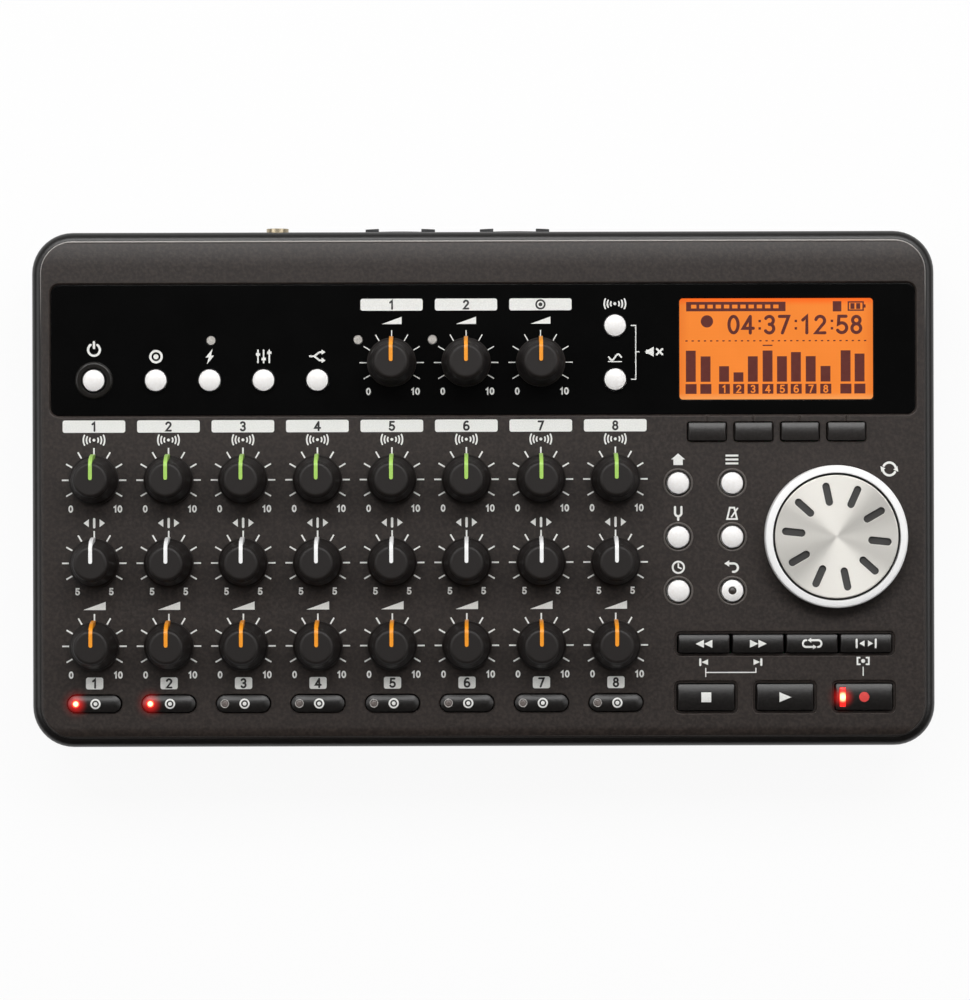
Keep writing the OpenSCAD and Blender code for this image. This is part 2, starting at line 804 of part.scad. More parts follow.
module main_board() {
    notch_from = mic_spots[0] - mic_r - slack;
    notch_to = mic_spots[1] + mic_r + slack;
    notch_y = case_d / 2 - mic_l - slack;
    color(board_color) translate([0, 0, board_under]) linear_extrude(board_t) difference() {
        rounded_plan(case_w - 2 * board_inset, case_d - 2 * board_inset, corner_r - board_inset);
        translate([notch_from, notch_y]) square([notch_to - notch_from, mic_l]);
        for (s = screw_spots) translate(s) circle(screw_r + fit);
    }
}

module potentiometers() {
    bush_top = panel_z + knob_gap + lap - slack;
    color(metal_color) at(concat(track_spots, input_spots)) difference() {
        union() {
            translate([-pot_w / 2, -pot_d / 2, board_z]) cube([pot_w, pot_d, pot_h]);
            cylinder_from(bush_r, board_z, bush_top);
        }
        cylinder_from(shaft_r + running, shaft_z - lap, bush_top + over);
    }
}

module cylinder_from(r, low, high) {
    translate([0, 0, low]) cylinder(r = r, h = high - low);
}

// Half section of a knob above the panel, drawn smaller by an inset
module knob_section(inset) {
    top = knob_stand - inset;
    side = cap_r - inset;
    difference() {
        polygon([
            [0, knob_gap],
            [skirt_r - inset, knob_gap],
            [skirt_r - inset, knob_gap + skirt_h],
            [skirt_r - inset - lap, knob_gap + skirt_h + lap],
            [side, top],
            [0, top]
        ]);
        edge_cut(side, top, cap_round);
    }
}

// A knob with its shaft, hollow over the bush, with a groove for the pointer towards the rear
module knob(spot) {
    color(knob_color) translate([spot.x, spot.y, panel_z]) {
        difference() {
            rotate_extrude() knob_section(0);
            rotate([90, 0, 90]) linear_extrude(pointer_w, center = true) difference() {
                square([skirt_r + over, knob_stand + over]);
                knob_section(pointer_deep);
                square([skirt_r + 2 * over, knob_gap + skirt_h / 2]);
            }
            cylinder_from(bush_r + slack, 0, knob_gap + 2 * lap);
        }
        cylinder_from(shaft_r, shaft_z - panel_z, knob_gap + 2 * lap + lap);
    }
}

module wheel_encoder() {
    bush_top = panel_z + wheel_gap - slack;
    color(metal_color) translate([wheel_x, wheel_y, 0]) difference() {
        union() {
            translate([-encoder_w / 2, -encoder_w / 2, board_z]) cube([encoder_w, encoder_w, encoder_h]);
            cylinder_from(encoder_bush_r, board_z, bush_top);
        }
        cylinder_from(wheel_shaft_r + running, board_z + encoder_foot - lap, bush_top + over);
    }
}

// Half section of the wheel: a cup with a sloping ring, a seat for the disc, a hub and a shaft
module wheel_section() {
    seat_r = wheel_r - wheel_ring;
    seat_z = wheel_stand - disc_t - slack;
    under_z = seat_z - wheel_top_t;
    difference() {
        polygon([
            [0, wheel_gap],
            [wheel_r, wheel_gap],
            [wheel_r, wheel_stand - ring_fall],
            [seat_r, wheel_stand],
            [0, wheel_stand]
        ]);
        translate([0, seat_z]) square([seat_r, wheel_stand]);
        translate([hub_r, 0]) square([wheel_r - wheel_side_t - hub_r, under_z]);
    }
    translate([0, board_z + encoder_foot - panel_z])
        square([wheel_shaft_r, panel_z - board_z - encoder_foot + wheel_gap + lap]);
}

module data_wheel() {
    color(silver_color) translate([wheel_x, wheel_y, panel_z]) rotate_extrude() wheel_section();
}

// Spun disc let into the wheel, with finger slots
module wheel_cap() {
    r = wheel_r - wheel_ring - wheel_groove;
    seat_z = wheel_stand - disc_t - slack;
    color(silver_color) translate([wheel_x, wheel_y, panel_z + seat_z]) difference() {
        rotate_extrude() difference() {
            square([r, disc_t]);
            edge_cut(r, disc_t, slack);
        }
        for (i = [0 : slots - 1]) rotate([0, 0, first_slot + i * 360 / slots])
            translate([0, slot_at, disc_t - slot_deep]) linear_extrude(slot_deep + over) {
                square([slot_w, slot_l - slot_w], center = true);
                for (end = [-1, 1]) translate([0, end * (slot_l - slot_w) / 2]) circle(slot_w / 2);
            }
    }
}

module key_switches() {
    color(socket_color) at(all_keys) difference() {
        translate([-switch_w / 2, -switch_w / 2, board_z]) cube([switch_w, switch_w, switch_h]);
        cylinder_from(stem_r + slack, switch_z - well_deep, switch_z + over);
    }
}

module indicator_lamps() {
    color(lamp_color) at(indicator_spots) {
        cylinder_from(indicator_body_r, board_z, board_z + indicator_body_h);
        cylinder_from(indicator_r, board_z, gloss_z + indicator_proud);
    }
}

// Round button with a domed top, a flange under the panel and a stem into its switch
module round_button(under) {
    top = panel_z + button_stand;
    flange_z = under - flange_gap;
    rotate_extrude() {
        intersection() {
            translate([0, flange_z - flange_t]) square([button_r, top - flange_z + flange_t]);
            translate([0, top - button_dome]) circle(button_dome);
            translate([0, flange_z - flange_t]) square(button_dome + top - flange_z);
        }
        translate([0, flange_z - flange_t]) square([button_r + flange_out, flange_t]);
        translate([0, switch_z - stem_dip]) square([stem_r, flange_z - flange_t - switch_z + stem_dip + lap]);
    }
}

// Key with a top that is round from front to rear; its flange stands out at the sides and the ends
module bar_key(w, d, crown, side_out, end_out) {
    top = panel_z + key_stand;
    flange_z = panel_under - flange_gap;
    low = flange_z - flange_t;
    intersection() {
        translate([0, 0, low]) linear_extrude(top - low) rounded_plan(w, d, key_corner);
        rotate([90, 0, 90]) linear_extrude(w, center = true) intersection() {
            translate([0, top - crown]) circle(crown);
            translate([-d / 2, low]) square([d, top - low]);
        }
        rotate([90, 0, 0]) linear_extrude(d, center = true) polygon([
            [-w / 2, low],
            [w / 2, low],
            [w / 2, top - 2 * key_bevel],
            [w / 2 - key_bevel, top],
            [key_bevel - w / 2, top],
            [-w / 2, top - 2 * key_bevel]
        ]);
    }
    translate([0, 0, low]) linear_extrude(flange_t)
        square([w + 2 * side_out, d + 2 * end_out], center = true);
    cylinder_from(stem_r, switch_z - stem_dip, low + lap);
}

// Pill shaped key with a crowned top and a hole for its lamp
module pill_key() {
    top = panel_z + key_stand;
    flange_z = panel_under - flange_gap;
    low = flange_z - flange_t;
    reach = (pill_w - pill_d) / 2;
    difference() {
        union() {
            for (x = [-1, 1]) translate([x * reach, 0, 0]) rotate_extrude() intersection() {
                pill_section(top, low);
                translate([0, low]) square([pill_d, top]);
            }
            rotate([90, 0, 90]) linear_extrude(2 * reach, center = true) pill_section(top, low);
            translate([0, 0, low]) linear_extrude(flange_t) pill_plan(flange_out);
            cylinder_from(stem_r, switch_z - stem_dip, low + lap);
        }
        translate([-lamp_at, 0, top - lamp_deep]) cylinder(r = lamp_r, h = lamp_deep + over);
    }
}

module pill_section(top, low) {
    intersection() {
        translate([0, top - pill_crown]) circle(pill_crown);
        translate([-pill_d / 2, low]) square([pill_d, top - low]);
    }
}

module standby_button() {
    color(white_color) at([standby_spot]) round_button(backing_under);
}

module setup_buttons() {
    color(white_color) at(setup_spots) round_button(backing_under);
}

module mute_buttons() {
    color(white_color) at(mute_spots) round_button(backing_under);
}

// The front right one of these has a small hollow in its top
module menu_buttons() {
    color(white_color) difference() {
        at(menu_spots) round_button(panel_under);
        translate([menu_spots[1].x, menu_spots[1].y, panel_z + button_stand - undo_deep])
            cylinder(r = undo_r, h = undo_deep + over);
    }
}

module function_keys() {
    color(key_color) at(function_spots) bar_key(function_w, narrow_d, narrow_crown, slim_out, 0);
}

module search_keys() {
    color(key_color) at(search_spots) bar_key(tray_key_w, narrow_d, narrow_crown, 0, flange_out);
}

module loop_keys() {
    color(key_color) at(loop_spots) bar_key(tray_key_w, narrow_d, narrow_crown, 0, flange_out);
}

module stop_key() {
    color(key_color) at([large_spots[0]]) bar_key(large_w, large_d, large_crown, flange_out, flange_out);
}

module play_key() {
    color(key_color) at([large_spots[1]]) bar_key(large_w, large_d, large_crown, flange_out, flange_out);
}

// Like the other large keys, with a slot for its lamp
module record_key() {
    color(key_color) at([large_spots[2]]) difference() {
        bar_key(large_w, large_d, large_crown, flange_out, flange_out);
        translate([-bar_at, 0, panel_z + key_stand]) cube([bar_w, bar_l, 2 * lamp_deep], center = true);
    }
}

module track_keys() {
    color(key_color) at(pill_spots) pill_key();
}

// Microphone socket: a ring round a core with three pin holes, and two shoulders at the top
module mic_socket() {
    difference() {
        union() {
            translate([0, 0, -mic_lip]) cylinder(r = mic_r, h = mic_l + mic_lip);
            translate([-mic_flange_w / 2, -mic_flange_down, wall_t])
                cube([mic_flange_w, mic_flange_down + mic_flange_up, mic_flange_t]);
            translate([0, 0, -mic_proud]) linear_extrude(mic_proud) intersection() {
                difference() {
                    circle(mic_r);
                    circle(mic_slot_r);
                }
                for (side = [-1, 1]) translate([side * (mic_gap_w + mic_shoulder_w) / 4, mic_r / 2])
                    square([(mic_shoulder_w - mic_gap_w) / 2, mic_r], center = true);
            }
        }
        translate([0, 0, -mic_proud - over]) difference() {
            cylinder(r = mic_slot_r, h = mic_slot_deep + mic_proud + over);
            translate([0, 0, mic_proud + over]) cylinder(r = mic_core_r, h = mic_slot_deep);
        }
        for (i = [0 : mic_pins - 1]) rotate([0, 0, 90 + i * 360 / mic_pins])
            translate([mic_pin_at, 0, -over]) cylinder(r = mic_pin_r, h = mic_pin_deep + over);
    }
}

module mic_sockets() {
    color(socket_color) for (x = mic_spots) rear_wall(x, mic_z) mic_socket();
}

module line_jacks() {
    color(socket_color) for (x = line_spots) rear_wall(x, line_z) difference() {
        union() {
            cylinder(r = line_nose_r, h = wall_t + lap);
            translate([-line_body_w / 2, -line_body_w / 2, wall_t])
                cube([line_body_w, line_body_w, line_body_l]);
        }
        translate([0, 0, -over]) cylinder(r = line_r, h = line_deep_l + over);
    }
}

module mini_jack() {
    color(gold_color) rear_wall(mini_x, mini_z) difference() {
        union() {
            translate([0, 0, -mini_proud]) cylinder(r = mini_collar_r, h = mini_proud + board_inset + lap);
            translate([-mini_body_w / 2, -mini_body_h / 2, board_inset])
                cube([mini_body_w, mini_body_h, mini_body_l]);
        }
        translate([0, 0, -mini_proud - over]) cylinder(r = mini_r, h = mini_deep + over);
    }
}

module power_socket() {
    color(socket_color) rear_wall(power_x, power_z) {
        difference() {
            union() {
                cylinder(r = power_nose_r, h = wall_t + lap);
                translate([-power_w / 2, -power_h / 2, wall_t]) cube([power_w, power_h, power_l]);
            }
            translate([0, 0, -over]) cylinder(r = power_r, h = power_deep + over);
        }
        translate([0, 0, 2 * lap]) cylinder(r = power_pin_r, h = power_deep);
    }
}

module card_socket() {
    w = card_w + 2 * card_socket_wall;
    low = board_under - card_socket_h;
    color(metal_color) translate([board_inset - case_w / 2, card_y, low]) difference() {
        translate([0, -w / 2, 0]) cube([card_socket_l, w, card_socket_h]);
        translate([-over, -card_w / 2, (card_socket_h - card_h) / 2])
            cube([card_socket_l - card_socket_wall + over, card_w, card_h]);
    }
}

// Cover of the card slot, with a round hinge edge, pins and a nail notch; it swings out at the top
module card_cover() {
    pin_l = cover_w + 2 * hinge_pin_l;
    color(case_color) translate([hinge_x, card_y, hinge_z]) difference() {
        union() {
            translate([-hinge_r, -cover_w / 2, 0]) cube([cover_t, cover_w, cover_h - hinge_r]);
            translate([0, cover_w / 2, 0]) rotate([90, 0, 0]) cylinder(r = hinge_r, h = cover_w);
            translate([0, pin_l / 2, 0]) rotate([90, 0, 0]) cylinder(r = hinge_pin_r, h = pin_l);
        }
        translate([-hinge_r - over, 0, cover_h - hinge_r]) rotate([0, 90, 0])
            cylinder(r = nail_r, h = over + nail_deep);
    }
}

// Places children over each cell, turned end for end in turn
module at_cells() {
    for (i = [0 : cells - 1])
        translate([bay_x + (i - (cells - 1) / 2) * cell_pitch, bay_y, cell_z])
            rotate([0, 0, 180 * (i % 2)]) children();
}

module battery_cells() {
    front = bay_l / 2 - contact_t - contact_gap;
    color(cell_color) at_cells() rotate([-90, 0, 0]) {
        translate([0, 0, front - cell_l]) cylinder(r = cell_d / 2, h = cell_l - nub_l);
        translate([0, 0, front - nub_l - lap]) cylinder(r = nub_r, h = nub_l + lap);
    }
}

// A flat contact for each nub and a bent leaf for each cell's flat end
module battery_contacts() {
    color(metal_color) at_cells() {
        translate([-contact_w / 2, bay_l / 2 - contact_t, -contact_w / 2])
            cube([contact_w, contact_t, contact_w]);
        translate([-contact_w / 2, -bay_l / 2, -contact_w / 2]) cube([contact_w, contact_t, contact_w]);
        translate([0, contact_t - bay_l / 2, 0]) rotate([90, 0, 90])
            linear_extrude(leaf_w, center = true) polygon([
                [0, -contact_w / 2],
                [leaf_reach, 0],
                [0, contact_w / 2],
                [0, contact_w / 2 - 2 * contact_t],
                [leaf_reach - contact_t, 0],
                [0, 2 * contact_t - contact_w / 2]
            ]);
    }
}

// Door that fills the rebate under the bay, with a plug inside it and a thumb grip outside
module battery_door() {
    color(case_color) translate([bay_x, bay_y, foot_h]) difference() {
        union() {
            linear_extrude(door_t) rounded_plan(
                bay_w + 2 * (door_rebate - slack), bay_l + 2 * (door_rebate - slack), door_corner - slack
            );
            linear_extrude(floor_t - contact_gap)
                rounded_plan(bay_w - 2 * slack, bay_l - 2 * slack, door_corner);
        }
        translate([0, -bay_l / 4, -over]) linear_extrude(over + grip_deep) intersection() {
            circle(grip_r);
            square([grip_w, grip_r], center = true);
        }
    }
}

module feet() {
    color(socket_color) for (x = [-1, 1], y = [-1, 1])
        translate([x * (case_w / 2 - foot_inset), y * (case_d / 2 - foot_inset), 0])
            rotate_extrude() difference() {
                square([foot_r, foot_h]);
                translate([0, foot_h]) mirror([0, 1]) edge_cut(foot_r, foot_h, foot_h / 3);
            }
}

module case_screws() {
    color(screw_color) at(screw_spots) {
        cylinder_from(screw_r, head_z - lap, head_z + screw_l);
        difference() {
            cylinder_from(head_r, head_z - head_h, head_z);
            translate([0, 0, head_z - head_h]) {
                cube([2 * screw_r, 2 * lap, 2 * lap], center = true);
                cube([2 * lap, 2 * screw_r, 2 * lap], center = true);
            }
        }
    }
}

lower_case();
top_panel();
gloss_panel();
display_module();
main_board();
potentiometers();
key_switches();
wheel_encoder();
indicator_lamps();
mic_sockets();
line_jacks();
mini_jack();
power_socket();
card_socket();
card_cover();
battery_cells();
battery_contacts();
battery_door();
feet();
case_screws();
data_wheel();
wheel_cap();
knob(input_spots[0]);  // input_a_knob
knob(input_spots[1]);  // input_b_knob
knob(input_spots[2]);  // master_knob
for (i = [1 : tracks]) {
    knob([column_x(i - 1), row_y(effect_row)]);
    knob([column_x(i - 1), row_y(pan_row)]);
    knob([column_x(i - 1), row_y(level_row)]);
}
standby_button();
setup_buttons();
mute_buttons();
menu_buttons();
function_keys();
search_keys();
loop_keys();
stop_key();
play_key();
record_key();
track_keys();
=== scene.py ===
"""Looks of a desktop digital multitrack recorder: finishes, printed marks, lamps and a lit display."""

import json
import math

import bpy
import numpy as np
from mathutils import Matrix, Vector

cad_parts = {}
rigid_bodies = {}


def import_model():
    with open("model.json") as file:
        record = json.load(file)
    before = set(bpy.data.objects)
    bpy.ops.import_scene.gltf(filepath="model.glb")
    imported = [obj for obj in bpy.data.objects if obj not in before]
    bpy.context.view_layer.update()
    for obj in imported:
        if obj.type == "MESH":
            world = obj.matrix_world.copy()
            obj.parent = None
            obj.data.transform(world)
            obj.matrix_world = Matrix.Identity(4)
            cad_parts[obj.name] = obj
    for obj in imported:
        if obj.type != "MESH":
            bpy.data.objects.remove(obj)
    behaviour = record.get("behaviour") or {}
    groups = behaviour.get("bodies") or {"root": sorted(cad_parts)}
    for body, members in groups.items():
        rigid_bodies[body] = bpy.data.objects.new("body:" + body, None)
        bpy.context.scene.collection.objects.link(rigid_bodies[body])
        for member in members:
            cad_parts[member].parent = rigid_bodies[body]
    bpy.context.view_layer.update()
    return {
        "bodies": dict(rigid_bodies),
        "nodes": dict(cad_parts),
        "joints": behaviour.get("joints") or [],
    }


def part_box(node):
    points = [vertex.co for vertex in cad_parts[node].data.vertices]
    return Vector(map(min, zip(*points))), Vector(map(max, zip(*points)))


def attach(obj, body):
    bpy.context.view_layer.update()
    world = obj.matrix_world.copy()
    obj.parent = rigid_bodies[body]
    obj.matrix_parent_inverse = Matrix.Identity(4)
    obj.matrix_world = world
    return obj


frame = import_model()

bl_info = {
    "name": "Multitrack recorder looks",
    "version": (1, 0, 0),
    "blender": (4, 5, 0),
    "location": "View3D > Sidebar > Recorder",
    "description": "Finishes, prints, lamps and display of a desktop multitrack recorder",
    "category": "Object",
}

MM = 0.001

# Heights of the faces that carry prints, in millimetres
PANEL_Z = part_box("top_panel")[1].z / MM
GLOSS_Z = PANEL_Z - 0.6
GLASS_Z = GLOSS_Z - 0.3
SEGMENT_Z = GLASS_Z + 0.02
KEY_TOP = PANEL_Z + 1.3
BUTTON_TOP = PANEL_Z + 1.4
WHEEL_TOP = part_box("data_wheel")[1].z / MM

# The bead along the panel's edge: centres of its corners, its distance from them, its height and its radius
SEAM_CENTRES = (100.0, 52.75)
SEAM_R = 7.6
SEAM_Z = PANEL_Z - 1.25
BEAD_R = 0.26

# Places of the controls, in millimetres
PIVOTS = {joint["child"]: np.array(joint["pos_m"][:2]) / MM for joint in frame["joints"]}
TRACKS = range(1, 9)
COLUMNS = [PIVOTS[f"effect_knob_{i}"][0] for i in TRACKS]
ROWS = {row: PIVOTS[f"{row}_knob_1"][1] for row in ("effect", "pan", "level")}
INPUT_KNOBS = ("input_a_knob", "input_b_knob", "master_knob")
KNOBS = [name for name in frame["bodies"] if "_knob" in name]
STANDBY = (-94.7, 26.6)
SETUP_X = (-79.6, -66.5, -53.4, -40.3)
MUTE_Y = (39.7, 26.6)
MENU_X = (47.4, 60.5)
MENU_Y = (1.3, -11.8, -24.9)
MENU_SPOTS = [(x, y) for y in MENU_Y for x in MENU_X]
TRAY_X = (53.56, 66.69, 79.82, 92.95)
TRAY_Y = -37.8
LARGE_X = (54.05, 73.25, 92.45)
LARGE_Y = -50.8
TRACK_KEY_Y = -52.05
WHEEL = PIVOTS["wheel"]
LCD_LEFT = 47.7
LCD_TOP = 46.4
LCD_BOTTOM = 21.5
LCD_RIGHT = 95.1

# Crown radii of the keys, and places of the lamps in them
NARROW_CROWN = 6
LARGE_CROWN = 9
TRACK_CROWN = 4
TRACK_LAMPS = [(x - 4.5, TRACK_KEY_Y) for x in COLUMNS]
RECORD_LAMP = (LARGE_X[2] - 5.2, LARGE_Y)
LIT_LAMPS, DARK_LAMPS = TRACK_LAMPS[:2], TRACK_LAMPS[2:]
LIT_SPOTS = [*LIT_LAMPS, RECORD_LAMP]

# Sizes in millimetres of lumps in the finishes: broad drift of colour, scuffs and the fibres of the floor
DRIFT = 22.0
SCUFF = 3.5
FIBRE = 40.0

# Red light that the lit lamps throw on the panel and on their keys: reach in millimetres, strength
PANEL_GLOW = (5.0, 0.22)
KEY_GLOW = (3.6, 0.9)

# White tabs on the panel and on the strip: place from front to rear, width and depth in millimetres
TRACK_TABS = ((15.4, 15.25, 3.0), (-47.1, 4.2, 2.9))
INPUT_TAB = (44.9, 15.15, 2.9)

# Numbers on the tabs: height and width of their lines
TAB_FIGURE = (2.05, 0.48)
INPUT_FIGURE = (2.1, 0.5)

# End numbers of a dial, and how far to the side and to the front of the knob's axis they stand
DIAL_ENDS = ((0, 10), 5.7, 7.0)
PAN_ENDS = ((5, 5), 4.1, 6.9)
DIAL_STROKE = 0.38

# How far behind their control the signs stand, and the places of two signs that stand alone, in millimetres
ROW_RISE = 9.75
MENU_RISE = 5.7
INPUT_RISE = 10.2
SETUP_RISE = 5.8
STANDBY_RISE = 7.5
MUTE_RISES = (5.3, 5.4)
TURN_SPOT = (98.8, 4.6)
SILENT_SPOT = (41.9, 33.3)

# Level bars of the display, from its upper left corner: left edges, heights and the display's front edge
METER_LEFTS = (1.7, 5.3, 9.8, 13.3, 16.8, 20.4, 23.9, 27.3, 30.9, 34.5, 39.4, 42.8)
METER_RISES = (7.6, 6.2, 3.8, 2.3, 6.2, 7.6, 6.2, 7.2, 6.2, 3.8, 7.6, 6.8)
LCD_FRONT = -24.9
METER_FOOT = LCD_FRONT + 4.43

# Thickness of print, of print on print and of print on a round key, and the step between shapes of one print
INK_THICK = 0.05
FIGURE_THICK = 0.03
KEY_INK_THICK = 0.08
INK_STEP = 0.0015

BUTTON_NODES = ("standby_button", "setup_buttons", "mute_buttons", "menu_buttons")
DARK_KEYS = ("search_keys", "loop_keys", "stop_key", "play_key")
STEEL_NODES = ("potentiometers", "wheel_encoder", "card_socket", "battery_contacts")

# Plain plastics: display colour, roughness, grain and its depth in millimetres, and the nodes that have them
PLASTICS = {
    "socket_plastic": ((24, 24, 24), 0.4, 0.5, 0.01, ("line_jacks", "power_socket", "key_switches")),
    "shoulder_plastic": ((52, 52, 53), 0.4, 0.5, 0.01, ("mic_sockets",)),
    "board_lacquer": ((24, 84, 52), 0.3, 0.8, 0.01, ("main_board",)),
    "cell_sleeve": ((70, 76, 84), 0.3, 1.0, 0.01, ("battery_cells",)),
    "foot_rubber": ((20, 20, 20), 0.8, 0.5, 0.05, ("feet",)),
    "lamp_lens": ((172, 168, 162), 0.35, 0.6, 0.006, ("indicator_lamps",)),
}

# Metals: display colour, roughness and the nodes that have them
METALS = {
    "gold_plate": ((192, 178, 152), 0.3, ("mini_jack",)),
    "tinned_steel": ((176, 176, 172), 0.32, STEEL_NODES),
    "screw_steel": ((96, 96, 94), 0.3, ("case_screws",)),
}


def linear(red, green, blue):
    """The linear light of a colour given as 8 bit display values."""
    shown = np.array([red, green, blue]) / 255
    low = shown / 12.92
    high = ((shown + 0.055) / 1.055) ** 2.4
    return tuple(float(v) for v in np.where(shown <= 0.04045, low, high))


def tint(name, about, rgb):
    """A colour property with its default in display values."""
    return bpy.props.FloatVectorProperty(
        name=name, description=about, default=linear(*rgb), size=3, min=0, max=1, subtype="COLOR"
    )


def real(name, about, default, **limits):
    """A number property."""
    return bpy.props.FloatProperty(name=name, description=about, default=default, **limits)


def length(name, about, default):
    """A length property in metres, with its default in millimetres."""
    return real(name, about, default * MM, min=0, unit="LENGTH")


class RecorderColours(bpy.types.PropertyGroup):
    """Colours of the recorder's finishes."""

    panel: tint("Panel", "Satin paint of the control panel", (36, 30, 27))
    case: tint("Case", "Moulded case round the panel", (15, 13, 12))
    gloss: tint("Gloss strip", "Polished strip round the display", (6, 6, 6))
    knob: tint("Knobs", "Soft plastic of the knobs", (23, 18, 16))
    key: tint("Keys", "Satin plastic of the keys", (24, 22, 21))
    white: tint("Buttons", "White plastic of the round buttons", (246, 243, 240))
    silver: tint("Wheel ring", "Silver paint of the wheel's ring", (255, 254, 252))
    spun: tint("Wheel disc", "Spun metal of the wheel's disc", (255, 248, 240))
    ink: tint("White ink", "Printed marks", (235, 235, 231))
    effect: tint("Effect pointers", "Pointers of the upper row", (172, 216, 104))
    pan: tint("Pan pointers", "Pointers of the middle row", (255, 255, 253))
    level: tint("Level pointers", "Pointers of the lower row and the gloss strip", (255, 160, 40))
    lamp: tint("Lit lamps", "Light of the record lamps", (255, 32, 28))
    display: tint("Display", "Back light of the display", (247, 135, 46))
    segment: tint("Segments", "Dark segments on the display", (96, 38, 30))


class RecorderSizes(bpy.types.PropertyGroup):
    """Sizes of the recorder's printed marks and details."""

    ink_height: length("Ink height", "How far printed marks stand off their face", 0.02)
    tick_from: length("Tick start", "Distance of a tick's inner end from the knob's axis", 6.1)
    tick_to: length("Tick end", "Distance of a tick's outer end from the knob's axis", 7.85)
    tick_width: length("Tick width", "Width of a tick on the panel", 0.38)
    fine_width: length("Fine width", "Width of a tick or line on the gloss strip", 0.26)
    sign_width: length("Sign width", "Width of the lines of a sign", 0.45)
    digit_height: length("Digit height", "Height of the numbers on the dials", 1.45)
    tab_corner: length("Tab corner", "Corner radius of the white tabs", 0.55)
    pointer_width: length("Pointer width", "Width of a knob's pointer", 0.9)


class RecorderStage(bpy.types.PropertyGroup):
    """The camera, the lamps and the floor."""

    camera_height: length("Camera height", "Height of the camera over the panel", 1100)
    camera_x: real("Camera X", "Camera's place across", 0.4 * MM, unit="LENGTH")
    camera_y: real("Camera Y", "Camera's place front to rear", -2.7 * MM, unit="LENGTH")
    camera_roll: real("Camera roll", "Turn of the picture", math.radians(-0.15), subtype="ANGLE")
    pixels_per_metre: real("Scale", "Picture points to a metre at the panel", 4110, min=1)
    rear_watts: real("Rear light", "Power of the large light behind", 9.3, min=0, unit="POWER")
    side_watts: real("Side light", "Power of the light at each side", 2.3, min=0, unit="POWER")
    sky: real("Sky", "Light from all round", 0.2, min=0)
    glow: real("Floor glow", "Share of plain white in the floor", 0.93, min=0, max=1, subtype="FACTOR")


def colours():
    """The scene's colours."""
    return bpy.context.scene.recorder_colours


def measure(name):
    """One of the scene's sizes, in millimetres."""
    return getattr(bpy.context.scene.recorder_sizes, name) / MM


def added(name, data):
    """A new object in the scene."""
    item = bpy.data.objects.new(name, data)
    bpy.context.scene.collection.objects.link(item)
    return item


def math_method(operation, swapped=False):
    """A method that adds a Math node on its two values, which are swapped in a reflected form."""

    def method(self, other):
        first, second = (other, self) if swapped else (self, other)
        return self.finish.node("ShaderNodeMath", {"operation": operation}, {0: first, 1: second})

    return method


class Value:
    """A shader socket in an expression: each operator adds one Math node."""

    __add__ = math_method("ADD")
    __radd__ = math_method("ADD", swapped=True)
    __sub__ = math_method("SUBTRACT")
    __rsub__ = math_method("SUBTRACT", swapped=True)
    __mul__ = math_method("MULTIPLY")
    __rmul__ = math_method("MULTIPLY", swapped=True)
    __pow__ = math_method("POWER")
    __mod__ = math_method("FLOORED_MODULO")
    __gt__ = math_method("GREATER_THAN")
    __lt__ = math_method("LESS_THAN")

    def __init__(self, finish, socket):
        self.finish = finish
        self.socket = socket


